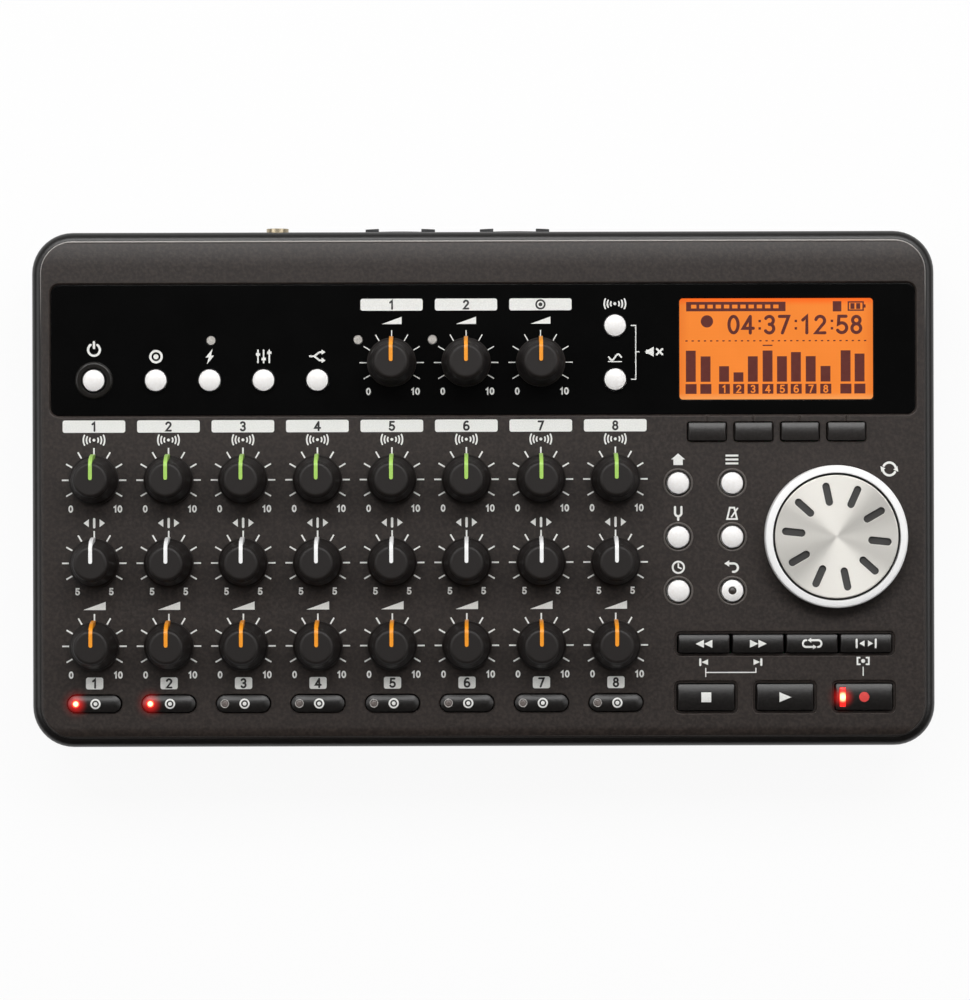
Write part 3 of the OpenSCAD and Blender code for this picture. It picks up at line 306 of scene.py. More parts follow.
class Finish:
    """A material whose nodes are added by node() and closed by shade()."""

    def __init__(self, name):
        self.material = bpy.data.materials.new(name)
        self.material.use_nodes = True
        self.tree = self.material.node_tree
        self.tree.nodes.clear()
        self.place = self.node("ShaderNodeTexCoord", out="Object")

    def node(self, kind, settings=None, sockets=None, out=0):
        """Adds a node: its settings first, then the values or links of its sockets."""
        made = self.tree.nodes.new(kind)
        for key, value in (settings or {}).items():
            setattr(made, key, value)
        for key, value in (sockets or {}).items():
            if isinstance(value, Value):
                self.tree.links.new(value.socket, made.inputs[key])
            else:
                made.inputs[key].default_value = value
        return Value(self, made.outputs[out])

    def axes(self):
        """X, Y and Z of the object's own coordinates, in metres."""
        split = self.node("ShaderNodeSeparateXYZ", sockets={0: self.place}).socket.node
        return [Value(self, output) for output in split.outputs]

    def noise(self, grain, detail=2.0, rough=0.5):
        """Noise from 0 to 1 whose lumps are about grain millimetres across."""
        sockets = {"Vector": self.place, "Scale": 1 / (grain * MM), "Detail": detail, "Roughness": rough}
        return self.node("ShaderNodeTexNoise", {}, sockets)

    def ramp(self, value, low, high):
        """0 below low, 1 above high, smooth between them."""
        settings = {"interpolation_type": "SMOOTHSTEP", "clamp": True}
        return self.node("ShaderNodeMapRange", settings, {"Value": value, "From Min": low, "From Max": high})

    def blend(self, factor, first, second):
        """A colour between two colours."""
        sockets = {0: factor, 6: opaque(first), 7: opaque(second)}
        return self.node("ShaderNodeMix", {"data_type": "RGBA"}, sockets, out=2)

    def vary(self, factor, colour, low, high):
        """A colour between two shares of its own strength."""
        return self.blend(factor, scaled(colour, low), scaled(colour, high))

    def bump(self, height, depth, normal=None):
        """A normal bent by a height from 0 to 1 that stands for depth millimetres."""
        sockets = {"Height": height, "Distance": depth * MM, "Strength": 1.0}
        if normal is not None:
            sockets["Normal"] = normal
        return self.node("ShaderNodeBump", {}, sockets)

    def soft_edge(self, radius):
        """The normal of edges that look rounded by a radius in millimetres."""
        return self.node("ShaderNodeBevel", {"samples": 4}, {"Radius": radius * MM})

    def worn(self, bent):
        """1 along edges whose normal is bent away from the face's own, 0 on flats: where edges get a painted
        highlight.
        """
        own = self.node("ShaderNodeNewGeometry", out="Normal")
        dot_product = {"operation": "DOT_PRODUCT"}
        agree = self.node("ShaderNodeVectorMath", dot_product, {0: bent, 1: own}, out="Value")
        return self.ramp(agree, 0.995, 0.9)

    def shade(self, **sockets):
        """Ends the material in a Principled shader with the sockets given by name."""
        titles = {key: key.replace("_", " ").title().replace("Ior", "IOR") for key in sockets}
        named = {titles[key]: value for key, value in sockets.items()}
        for key in ("Base Color", "Emission Color"):
            if key in named:
                named[key] = opaque(named[key])
        shader = self.node("ShaderNodeBsdfPrincipled", {}, named)
        self.node_output(shader)
        return self.material

    def node_output(self, shader):
        """Links a shader to the material's output."""
        output = self.tree.nodes.new("ShaderNodeOutputMaterial")
        self.tree.links.new(shader.socket, output.inputs["Surface"])


def opaque(colour):
    """A colour as four numbers, or a link as it is."""
    return colour if isinstance(colour, Value) else (*colour[:3], 1.0)


def scaled(colour, factor):
    """A colour made lighter or darker."""
    return tuple(min(1.0, channel * factor) for channel in colour[:3])


def moulded(
    name, colour, rough, grain=0.35, depth=0.012, edge=0.12, spread=0.18, fleck=0.5, shine=0.5,
    glow=None, edge_sheen=0,
):
    """Moulded or painted plastic: fine grain in bump and roughness, flecks and broad drift in colour.
    Its edges look rounded, and a share of them is painted lighter, a painted highlight, and made smoother.
    With a glow, a reach in millimetres and a strength, the red of the lit lamps spreads over it."""
    finish = Finish(name)
    fine = finish.noise(grain, 3.0, 0.6)
    broad = finish.noise(DRIFT, 3.0)
    scuff = finish.ramp(finish.noise(SCUFF, 4.0, 0.65), 0.55, 0.8)
    base = finish.vary(broad, colour, 1 - spread, 1 + spread)
    base = finish.blend(finish.ramp(fine, 0.35, 0.7) * fleck, base, scaled(colour, 1 + 5 * spread))
    bent = finish.soft_edge(edge) if edge else None
    rough = rough + 0.1 * (fine - 0.5) + 0.06 * scuff
    # Painted highlight: edges are painted four times lighter, and their roughness is lowered.
    if edge_sheen:
        sheen = finish.worn(bent) * edge_sheen
        base = finish.blend(sheen, base, scaled(colour, 4.0))
        rough = rough - 0.15 * sheen
    light = {}
    if glow:
        reach, strength = glow
        near = nearness(finish, LIT_SPOTS, reach)
        light["emission_color"] = finish.blend(near * near, (0, 0, 0), colours().lamp)
        light["emission_strength"] = strength
    normal = finish.bump(fine, depth, bent)
    return finish.shade(base_color=base, roughness=rough, normal=normal, specular_ior_level=shine, **light)


def dress(material, *nodes):
    """Gives CAD nodes a finish in place of their packed one."""
    for name in nodes:
        node = frame["nodes"][name]
        if not node.material_slots:
            raise RuntimeError(f"{name} has no material slot")
        for slot in node.material_slots:
            slot.material = material


class Pile:
    """A mesh gathered from closed tubes; a tube is a closed loop of points carried along a path."""

    def __init__(self):
        self.points = []
        self.faces = []
        self.count = 0

    def tube(self, loops, closed=False):
        """Adds loops[path, round, xyz] in millimetres: side faces between loops, and a cap at each end.
        A closed path has faces from its last loop to its first in place of caps."""
        loops = np.asarray(loops, float)
        steps, around = loops.shape[:2]
        index = np.arange(steps * around).reshape(steps, around)
        ahead = np.roll(index, -1, axis=1)
        beyond = [np.roll(corner, -1, axis=0) for corner in (ahead, index)]
        sides = np.stack([index, ahead, *beyond], axis=-1)
        sides = (sides if closed else sides[:-1]).reshape(-1, 4)
        caps = [] if closed else [index[0][::-1], index[-1]]
        flat = loops.reshape(-1, 3)
        middle = flat - flat.mean(0)
        a, b, c, d = (middle[sides[:, k]] for k in range(4))
        volume = np.einsum("ij,ij", a, np.cross(b, c)) + np.einsum("ij,ij", a, np.cross(c, d))
        for end in (middle[cap] for cap in caps):
            volume += (np.cross(end[1:-1], end[2:]) @ end[0]).sum()
        turn = slice(None, None, 1 if volume > 0 else -1)
        self.points.append(flat)
        self.faces += (sides[:, turn] + self.count).tolist()
        self.faces += [(cap[turn] + self.count).tolist() for cap in caps]
        self.count += len(flat)

    def slab(self, rails, top, thick=INK_THICK, across=1):
        """Adds a thin shape between two rails[path, xy], with steps across; its upper face is top(x, y)."""
        left, right = (refined(rail, across) for rail in rails)
        height = top if callable(top) else lambda x, y: np.full_like(x, top)
        share = np.linspace(0, 1, across + 1)[:, None, None]
        upper = right + share * (left - right)
        upper = np.concatenate([upper, height(upper[..., 0], upper[..., 1])[..., None]], axis=-1)
        lower = upper[::-1] - (0, 0, thick)
        self.tube(np.concatenate([upper, lower]).transpose(1, 0, 2))

    def slabs(self, shapes, top, thick=INK_THICK, across=1):
        """Adds several thin shapes, each a hair higher than the last so that they don't share a face."""
        for order, rails in enumerate(shapes):
            step = INK_STEP * order
            raised = (lambda x, y, lift=step: top(x, y) + lift) if callable(top) else top + step
            self.slab(rails, raised, thick, across)

    def lathe(self, spot, profile, around=32):
        """Adds a solid turned about a vertical axis: point(t, a) = spot + (r(t) cos a, r(t) sin a, z(t))."""
        profile = np.asarray(profile, float)
        angle = np.linspace(0, 2 * math.pi, around, endpoint=False)
        radius = np.maximum(profile[:, :1], 1e-4)
        x = spot[0] + radius * np.cos(angle)
        y = spot[1] + radius * np.sin(angle)
        self.tube(np.stack([x, y, np.broadcast_to(profile[:, 1:], x.shape)], axis=-1))

    def ring(self, spot, section, around=48):
        """Adds a closed section[r, z] carried round a vertical axis."""
        angle = np.linspace(0, 2 * math.pi, around, endpoint=False)
        self.bead(np.tile(spot, (around, 1)), angle, section)

    def frame(self, half_w, half_d, section, steps=12):
        """Adds a closed section[r, z] carried round a rectangle, with r from the centres of its corners."""
        angle = np.radians(np.linspace(0, 90, steps) + 90 * np.arange(4)[:, None]).ravel()
        corners = np.array([(1, 1), (-1, 1), (-1, -1), (1, -1)]) * (half_w, half_d)
        self.bead(np.repeat(corners, steps, axis=0), angle, section)

    def bead(self, path, angle, section):
        """Adds a closed section[r, z] along a closed path:
        point(t, s) = path(t) + r(s) (cos a(t), sin a(t)), z(s)."""
        section = np.asarray(section, float)
        x = path[:, :1] + section[:, 0] * np.cos(angle)[:, None]
        y = path[:, 1:] + section[:, 0] * np.sin(angle)[:, None]
        self.tube(np.stack([x, y, np.broadcast_to(section[:, 1], x.shape)], axis=-1), closed=True)

    def make(self, name, material, body, slot, smooth=False):
        """Makes the piece, in metres, at the origin, riding on a body."""
        mesh = bpy.data.meshes.new(name)
        mesh.from_pydata(np.concatenate(self.points) * MM, [], self.faces)
        if mesh.validate():
            raise RuntimeError(f"{name}: the mesh had faults")
        mesh.materials.append(material)
        if smooth:
            mesh.shade_smooth()
            mesh.set_sharp_from_angle(angle=math.radians(38))
        piece = added(name, mesh)
        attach(piece, body)


def refined(rail, pieces):
    """A rail with each of its runs cut into equal pieces."""
    rail = np.asarray(rail, float)
    order = np.arange(len(rail))
    cuts = np.linspace(0, len(rail) - 1, (len(rail) - 1) * pieces + 1)
    return np.column_stack([np.interp(cuts, order, rail[:, axis]) for axis in (0, 1)])


def arc(x, y, r, start, end, steps=20, squash=1.0):
    """Points on an arc: (x + r cos a, y + squash r sin a), with a from start to end in degrees."""
    angle = np.radians(np.linspace(start, end, steps))
    return np.column_stack([x + r * np.cos(angle), y + squash * r * np.sin(angle)])


def stroke(points, width):
    """Rails of a line of one width with round ends: path + offset times the mitred normal."""
    path = np.asarray(points, float)
    run = np.diff(path, axis=0)
    run /= np.linalg.norm(run, axis=1)[:, None]
    offset = mitred(np.vstack([run[:1], run]), np.vstack([run, run[-1:]]), width / 2)
    turn = np.radians(np.array([80, 55, 30]))[:, None]
    back, ahead = np.sin(turn) * width / 2, np.sin(turn[::-1]) * width / 2
    middle = np.vstack([path[0] - run[0] * back, path, path[-1] + run[-1] * ahead])
    reach = np.vstack([offset[0] * np.cos(turn), offset, offset[-1] * np.cos(turn[::-1])])
    return middle + reach, middle - reach


def hoop(points, width):
    """Rails of a line of one width that closes on itself."""
    path = np.asarray(points, float)
    run = np.roll(path, -1, axis=0) - path
    run /= np.linalg.norm(run, axis=1)[:, None]
    offset = mitred(np.roll(run, 1, axis=0), run, width / 2)
    closed = np.arange(len(path) + 1) % len(path)
    return (path + offset)[closed], (path - offset)[closed]


def mitred(before, after, half):
    """Offsets to the left of a path, from the directions of the runs before and after each point."""
    side = before + after
    side /= np.maximum(np.linalg.norm(side, axis=1), 0.3)[:, None]
    normal = np.column_stack([-side[:, 1], side[:, 0]])
    left = np.column_stack([-after[:, 1], after[:, 0]])
    mitre = np.clip((normal * left).sum(1), 0.5, 1)
    return normal * (half / mitre)[:, None]


def circle(x, y, r, width):
    """Rails of a ring."""
    return hoop(arc(x, y, r, 0, 348, 30), width)


def bar(x0, y0, x1, y1):
    """Rails of a plain rectangle."""
    return [(x0, y0), (x1, y0)], [(x0, y1), (x1, y1)]


def about(along, y, half):
    """Rails at a half depth on both sides of a level line."""
    return np.column_stack([along, y - half]), np.column_stack([along, y + half])


def tab(x, y, w, d, corner):
    """Rails of a rounded rectangle: its half depth is d/2 - corner + corner sin a near the ends."""
    turn = np.radians(np.linspace(0, 90, 7))
    reach = corner * (1 - np.cos(turn))
    rise = d / 2 - corner + corner * np.sin(turn)
    along = np.concatenate([x - w / 2 + reach, (x + w / 2 - reach)[::-1]])
    return about(along, y, np.concatenate([rise, rise[::-1]]))


def dot(x, y, r):
    """Rails of a disc: y = y0 plus or minus sqrt(r^2 - (x - x0)^2)."""
    angle = np.radians(np.linspace(178, 2, 18))
    return about(x + r * np.cos(angle), y, r * np.sin(angle))


def wedge(tip, first, second, steps=8):
    """Rails of a triangle: they run from its tip to its two other corners."""
    t = np.linspace(0.01, 1, steps)[:, None]
    tip = np.array(tip, float)
    return tip + t * (np.array(first) - tip), tip + t * (np.array(second) - tip)


def digit(figure, width):
    """Strokes of a figure in a box 0.6 wide and 1 high, as rails of the given width."""
    if figure == 0:
        return [hoop(arc(0.3, 0.5, 0.27, 0, 348, 30, 1.8), width)]
    if figure == 8:
        return [circle(0.3, 0.75, 0.22, width), circle(0.3, 0.27, 0.26, width)]
    lines = {
        1: [[(0.12, 0.76), (0.36, 0.98), (0.36, 0.0)]],
        2: [np.vstack([arc(0.3, 0.72, 0.26, 165, -35, 16), [(0.04, 0.0), (0.58, 0.0)]])],
        3: [arc(0.28, 0.74, 0.24, 150, -90, 14), arc(0.28, 0.26, 0.26, 90, -150, 16)],
        4: [[(0.44, 0.0), (0.44, 0.98)], [(0.44, 0.98), (0.02, 0.28), (0.62, 0.28)]],
        5: [np.vstack([[(0.54, 0.98), (0.12, 0.98), (0.09, 0.52)], arc(0.29, 0.3, 0.29, 125, -150, 18)])],
        6: [np.vstack([arc(0.36, 0.5, 0.33, 70, 180, 12, 1.5), arc(0.31, 0.29, 0.28, 190, 500, 24)])],
        7: [[(0.03, 0.98), (0.57, 0.98), (0.2, 0.0)]],
    }
    return [stroke(points, width) for points in lines[figure]]


def placed(shapes, x, y, size=1.0):
    """Shapes moved to a place and scaled."""
    return [tuple(np.asarray(rail, float) * size + (x, y) for rail in rails) for rails in shapes]


def number(value, x, y, height, width):
    """Figures of a whole number, centred on a place."""
    text = str(value)
    pitch = 0.78
    start = -(len(text) * pitch - (pitch - 0.6)) / 2
    shapes = []
    for order, figure in enumerate(text):
        left = x + (start + order * pitch) * height
        shapes += placed(digit(int(figure), width / height), left, y - height / 2, height)
    return shapes


def waves(w):
    """A dot between arcs that spread to both sides, for an echo."""
    radii = (1.25, 2.15, 3.05)
    sides = [stroke(arc(0, 0, r, turn - 27, turn + 27, 12), w) for r in radii for turn in (0, 180)]
    return [dot(0, 0, 0.42), *sides]


def side_arrows(w):
    """Two arrow heads that point left and right with a line between them, for balance."""
    heads = [wedge((-2.0, 0), (-1.0, 0.75), (-1.0, -0.75)), wedge((2.0, 0), (1.0, -0.75), (1.0, 0.75))]
    return [*heads, stroke([(0, -0.75), (0, 0.75)], w)]


def rising_wedge():
    """A wedge that grows to the right, for level."""
    return [wedge((-2.2, -0.75), (2.2, -0.75), (2.2, 0.85))]


def power_sign(w):
    """A ring with a gap and a line in it."""
    return [stroke(arc(0, 0, 1.15, 125, 415, 24), w), stroke([(0, 0.35), (0, 1.5)], w)]


def target_sign(w):
    """A dot in a ring."""
    return [circle(0, 0, 1.1, w), dot(0, 0, 0.5)]


def bolt_sign():
    """A flash made of two wedges."""
    return [wedge((0.55, 1.5), (-0.85, -0.2), (0.15, -0.2)), wedge((-0.55, -1.5), (0.85, 0.2), (-0.15, 0.2))]


def fader_sign(w):
    """Three sliders at different heights."""
    shapes = [stroke([(x, -1.2), (x, 1.2)], w * 0.7) for x in (-1.1, 0, 1.1)]
    grips = ((-1.1, 0.4), (0, -0.5), (1.1, 0.7))
    return shapes + [bar(x - 0.42, y - 0.26, x + 0.42, y + 0.26) for x, y in grips]


def route_sign(w):
    """A line that forks into two arrows."""
    lines = [[(-1.5, 0), (-0.6, 0), (0.4, 0.8), (0.8, 0.8)], [(-0.5, -0.1), (0.4, -0.8), (0.8, -0.8)]]
    heads = [wedge((1.6, y), (0.8, y + 0.5), (0.8, y - 0.5)) for y in (0.8, -0.8)]
    return [stroke(line, w * 0.8) for line in lines] + heads


def curve_sign(w):
    """A wave over a base line, for tone."""
    x = np.linspace(-1.6, 1.6, 22)
    wave = np.column_stack([x, 0.75 * np.sin(x * math.pi / 1.6)])
    return [stroke(wave, w), stroke([(-1.7, -1.15), (1.7, -1.15)], w * 0.6)]


def silent_sign(w):
    """A loudspeaker with a cross beside it."""
    horn = wedge((-2.3, 0), (-0.3, -1.1), (-0.3, 1.1))
    cross = [stroke([(0.4, -0.6), (1.6, 0.6)], w), stroke([(0.4, 0.6), (1.6, -0.6)], w)]
    return [bar(-2.0, -0.45, -1.2, 0.45), horn, *cross]


def house_sign():
    """A roof over a block."""
    return [wedge((0, 1.25), (-1.4, 0.05), (1.4, 0.05)), bar(-0.95, -1.1, 0.95, 0.1)]


def list_sign():
    """Three level lines."""
    return [bar(-1.3, y - 0.2, 1.3, y + 0.2) for y in (0.8, 0, -0.8)]


def fork_sign(w):
    """A tuning fork."""
    tines = np.vstack([[(-0.65, 1.3)], arc(0, 0.1, 0.65, 180, 360, 14), [(0.65, 1.3)]])
    return [stroke(tines, w), stroke([(0, -0.55), (0, -1.3)], w)]


def beat_sign(w):
    """A tall frame with a swinging rod."""
    body = [(-1.0, -1.15), (-0.45, 1.15), (0.45, 1.15), (1.0, -1.15)]
    return [hoop(body, w * 0.8), stroke([(-0.1, -0.7), (1.1, 1.0)], w * 0.7)]


def clock_sign(w):
    """A clock face with two hands."""
    return [circle(0, 0, 1.15, w * 0.85), stroke([(0, 0.7), (0, 0), (0.55, -0.25)], w * 0.7)]


def back_sign(w):
    """An arrow that turns back."""
    hook = np.vstack([arc(0.3, -0.1, 0.85, -100, 90, 16), [(-0.6, 0.75)]])
    return [stroke(hook, w), wedge((-1.6, 0.75), (-0.6, 1.4), (-0.6, 0.1))]


def turn_sign(w):
    """Two arcs with arrow heads, for turning the wheel."""
    arcs = [stroke(arc(0, 0, 1.25, start, start + 135, 16), w) for start in (15, 195)]
    return arcs + [wedge((s * 1.75, s * -0.55), (s * 0.75, s * -0.15), (s * 1.55, s * 0.55)) for s in (1, -1)]


def loop_sign(w):
    """A long ring with an arrow head."""
    track = np.vstack([arc(1.3, 0, 0.75, -90, 90, 12), [(-0.3, 0.75)]])
    back = np.vstack([arc(-1.3, 0, 0.75, 90, 270, 12), [(0.3, -0.75)]])
    heads = [wedge((-1.0, 0.75), (-0.2, 1.3), (-0.2, 0.2)), wedge((1.0, -0.75), (0.2, -1.3), (0.2, -0.2))]
    return [stroke(track, w), stroke(back, w), *heads]


def span_sign(w):
    """Two arrows between two end lines."""
    ends = [stroke([(x, -0.9), (x, 0.9)], w) for x in (-2.2, 2.2)]
    return ends + [wedge((-1.6, 0), (-0.4, 0.7), (-0.4, -0.7)), wedge((1.6, 0), (0.4, -0.7), (0.4, 0.7))]


def double_arrow(side):
    """Two arrow heads that point the same way."""
    tips = (2.1, 0.05) if side > 0 else (-2.1, -0.05)
    return [wedge((tip, 0), (tip - side * 2.05, 0.97), (tip - side * 2.05, -0.97)) for tip in tips]


def to_end_sign(side, w):
    """An arrow against a line."""
    head = wedge((side * 0.9, 0), (-side * 0.5, 0.62), (-side * 0.5, -0.62))
    return [head, stroke([(side * 1.15, -0.6), (side * 1.15, 0.6)], w)]


def spot_sign(w):
    """A dot between two brackets."""
    ends = [stroke([(x * 0.6, -0.7), (x, -0.7), (x, 0.7), (x * 0.6, 0.7)], w * 0.8) for x in (-1.2, 1.2)]
    return ends + [dot(0, 0, 0.42)]


def crown(y, radius):
    """Height of a key's top, round from front to rear: top - R + sqrt(R^2 - (y - y0)^2)."""
    return lambda px, py: KEY_TOP + 0.02 - radius + np.sqrt(radius**2 - (py - y) ** 2)


def ink_finish(name, colour, rough=0.55):
    """Printed ink: slightly uneven cover and a dry surface."""
    finish = Finish(name)
    fine = finish.noise(0.25, 3.0, 0.6)
    base = finish.vary(finish.ramp(fine, 0.3, 0.75), colour, 0.9, 1.06)
    rough = rough + 0.15 * (fine - 0.5)
    return finish.shade(base_color=base, roughness=rough, normal=finish.bump(fine, 0.004))


def lit_finish(name, colour, spots, reach, strength):
    """A lit lens: hot in its middle and deeper towards its rim, with a little noise."""
    finish = Finish(name)
    fine = finish.noise(0.5, 2.0)
    near = nearness(finish, spots, reach)
    light = finish.blend(near, scaled(colour, 0.6), (1.0, 0.62, 0.3))
    base = finish.vary(fine, colour, 0.5, 0.7)
    rough = 0.2 + 0.1 * fine
    return finish.shade(base_color=base, roughness=rough, emission_color=light, emission_strength=strength)


def distance(finish, spot):
    """Metres from a vertical axis at a spot in millimetres."""
    x, y = finish.axes()[:2]
    return ((x - spot[0] * MM) ** 2.0 + (y - spot[1] * MM) ** 2.0) ** 0.5


def nearness(finish, spots, reach):
    """1 at any of the spots, falling to 0 at reach millimetres from it."""
    total = 0.0
    for spot in spots:
        total = finish.ramp(distance(finish, spot), reach * MM, 0.0) + total
    return total


class RECORDER_OT_case(bpy.types.Operator):
    """Finishes the case, the panel and the gloss strip"""

    bl_idname = "recorder.case"
    bl_label = "Case and panel"

    def execute(self, context):
        paint = colours()
        grained = {"grain": 0.8, "fleck": 1.0}
        shell = moulded("case_moulding", paint.case, 0.34, **grained, depth=0.03, edge=0.2, spread=0.12)
        dress(shell, "lower_case", "battery_door", "card_cover")
        # The panel's edges are painted lighter: a painted highlight.
        satin = {"depth": 0.032, "edge": 0.3, "spread": 0.2, "shine": 0.42, "edge_sheen": 0.8}
        dress(moulded("panel_satin", paint.panel, 0.46, **grained, **satin, glow=PANEL_GLOW), "top_panel")
        dress(self.gloss_finish(paint.gloss), "gloss_panel")
        seam = Pile()
        seam.frame(*SEAM_CENTRES, arc(SEAM_R, SEAM_Z, BEAD_R, 0, 330, 12))
        seam.make("panel_seam", self.seam_finish(paint.panel), "case", "panel_paint", smooth=True)
        return {"FINISHED"}

    def gloss_finish(self, colour):
        """Polished plastic with haze and fine hairs; round the standby button it is rougher and painted paler
        grey, which stands for the ring's highlights.
        """
        finish = Finish("gloss_strip")
        haze = finish.noise(9.0, 4.0)
        strands = {"Vector": finish.place, "Scale": 900.0, "Detail": 1.0, "Distortion": 4.0}
        hair = finish.node("ShaderNodeTexNoise", {}, strands)
        raised = nearness(finish, [STANDBY], 4.6) > 0.0
        base = finish.vary(haze, colour, 0.8, 1.2)
        # Painted highlight: round the standby button the strip is painted paler grey in place of the ring's
        # highlights.
        base = finish.blend(raised, base, linear(30, 28, 26))
        rough = 0.1 + 0.05 * haze + 0.03 * hair + 0.08 * raised
        normal = finish.bump(hair, 0.001, finish.soft_edge(0.15))
        return finish.shade(base_color=base, roughness=rough, normal=normal)

    def seam_finish(self, colour):
        """Satin paint along the panel's edge, painted lighter towards the rear as a painted highlight."""
        finish = Finish("seam_satin")
        rear = finish.ramp(finish.axes()[1], 0.035, 0.06)
        fine = finish.noise(0.6, 3.0)
        # Painted highlight: towards the rear the bead is blended to pale grey.
        base = finish.blend(rear * (0.8 + 0.2 * fine), scaled(colour, 1.1), linear(176, 171, 167))
        return finish.shade(base_color=base, roughness=0.34 + 0.08 * fine, normal=finish.bump(fine, 0.006))


class RECORDER_OT_inside(bpy.types.Operator):
    """Finishes the board, the sockets, the cells, the feet and the screws"""

    bl_idname = "recorder.inside"
    bl_label = "Sockets, board and feet"

    def execute(self, context):
        for name, (rgb, rough, grain, depth, nodes) in PLASTICS.items():
            dress(moulded(name, linear(*rgb), rough, grain, depth), *nodes)
        for name, (rgb, rough, nodes) in METALS.items():
            dress(self.metal(name, linear(*rgb), rough), *nodes)
        return {"FINISHED"}

    def metal(self, name, colour, rough):
        """Plated metal with a little tarnish."""
        finish = Finish(name)
        fine = finish.noise(0.6, 4.0)
        stain = finish.ramp(finish.noise(4.0, 4.0), 0.45, 0.75)
        base = finish.vary(stain, colour, 1.0, 0.7)
        rough = rough + 0.15 * stain + 0.08 * fine
        normal = finish.bump(fine, 0.004, finish.soft_edge(0.15))
        return finish.shade(base_color=base, metallic=1.0, roughness=rough, normal=normal)


class RECORDER_OT_knobs(bpy.types.Operator):
    """Finishes the knobs and lays a coloured pointer into each one's groove"""

    bl_idname = "recorder.knobs"
    bl_label = "Knobs"

    def execute(self, context):
        paint = colours()
        soft = {"grain": 0.3, "depth": 0.008, "edge": 0.2, "spread": 0.1, "shine": 0.4}
        dress(moulded("knob_soft", paint.knob, 0.5, **soft), *KNOBS)
        inks = {row: ink_finish(f"{row}_ink", getattr(paint, row), 0.4) for row in ROWS}
        for name in KNOBS:
            row = name.split("_")[0]
            pile = Pile()
            pile.tube(self.pointer(PIVOTS[name], measure("pointer_width")))
            pile.make(f"{name}_pointer", inks.get(row, inks["level"]), name, "knob_plastic")
        return {"FINISHED"}

    def pointer(self, spot, width):
        """A rib from the knob's axis to its skirt with a round end. Its crest runs level and then falls along
        r = a + b sin(t)^(2/n), z = c + d cos(t)^(2/n); its root lies in the knob."""
        top, foot = 11.66, 1.5
        level, tip, power = 3.1, 6.3, 2.4
        root_reach, root_depth = 3.9, 0.4
        half = width / 2
        start = half * (1 - np.cos(np.radians(np.arange(15, 91, 15))))
        turn = np.radians(np.linspace(0, 90, 19))
        fall = np.column_stack([np.sin(turn), np.cos(turn)]).clip(0) ** (2 / power)
        fall = (level, foot) + fall * (tip - level, top - foot)
        crest = np.vstack([np.column_stack([start, np.full(len(start), top)]), fall])
        root = np.minimum(crest, (root_reach, top - root_depth))
        sides = np.full(len(crest), half)
        sides[: len(start)] = np.sqrt(half**2 - (half - start) ** 2)
        corners = [(-sides, root), (sides, root), (sides, crest), (-sides, crest)]
        loops = [np.column_stack([x, p[:, 0], p[:, 1]]) for x, p in corners]
        return np.stack(loops, axis=1) + (spot[0], spot[1], PANEL_Z)


class RECORDER_OT_dials(bpy.types.Operator):
    """Prints the ticks and the end numbers round every knob"""

    bl_idname = "recorder.dials"
    bl_label = "Dial prints"

    def execute(self, context):
        white = ink_finish("dial_ink", colours().ink)
        height = measure("ink_height")
        tall = measure("digit_height")
        for face, names, z, width in (
            ("panel", [name for name in KNOBS if name not in INPUT_KNOBS], PANEL_Z, measure("tick_width")),
            ("strip", INPUT_KNOBS, GLOSS_Z, measure("fine_width")),
        ):
            pile = Pile()
            for name in names:
                x, y = PIVOTS[name]
                pile.slabs(self.ticks(x, y, width), z + height)
                ends, reach, drop = PAN_ENDS if name.startswith("pan") else DIAL_ENDS
                for value, side in zip(ends, (-1, 1)):
                    pile.slabs(number(value, x + side * reach, y - drop, tall, DIAL_STROKE), z + height)
            pile.make(f"{face}_dial_print", white, "case", "white_plastic")
        return {"FINISHED"}

    def ticks(self, x, y, width):
        """Nine short lines, 30 degrees apart, that point at the knob's axis."""
        start, end = measure("tick_from"), measure("tick_to")
        shapes = []
        for angle in np.radians(np.arange(-120, 121, 30)):
            along = np.array([math.sin(angle), math.cos(angle)])
            across = np.array([along[1], -along[0]]) * width / 2
            ends = np.array([along * start, along * end]) + (x, y)
            shapes.append((ends - across, ends + across))
        return shapes


class RECORDER_OT_tabs(bpy.types.Operator):
    """Prints the white tabs with plain numbers on them"""

    bl_idname = "recorder.tabs"
    bl_label = "White tabs"

    def execute(self, context):
        corner = measure("tab_corner")
        height = measure("ink_height")
        tabs, figures = Pile(), Pile()
        for i, x in zip(TRACKS, COLUMNS):
            for y, wide, deep in TRACK_TABS:
                tabs.slab(tab(x, y, wide, deep, corner), PANEL_Z + height)
                figures.slabs(number(i, x, y, *TAB_FIGURE), PANEL_Z + 2 * height, FIGURE_THICK)
        signs = (number(1, 0, 0, *INPUT_FIGURE), number(2, 0, 0, *INPUT_FIGURE), target_sign(0.45))
        y, wide, deep = INPUT_TAB
        for name, sign in zip(INPUT_KNOBS, signs):
            x = PIVOTS[name][0]
            tabs.slab(tab(x, y, wide, deep, corner), GLOSS_Z + height)
            figures.slabs(placed(sign, x, y, 0.95), GLOSS_Z + 2 * height, FIGURE_THICK)
        tabs.make("number_tabs", ink_finish("tab_ink", colours().ink, 0.6), "case", "white_plastic")
        figures.make("tab_numbers", ink_finish("dark_ink", linear(38, 36, 35)), "case", "key_plastic")
        return {"FINISHED"}


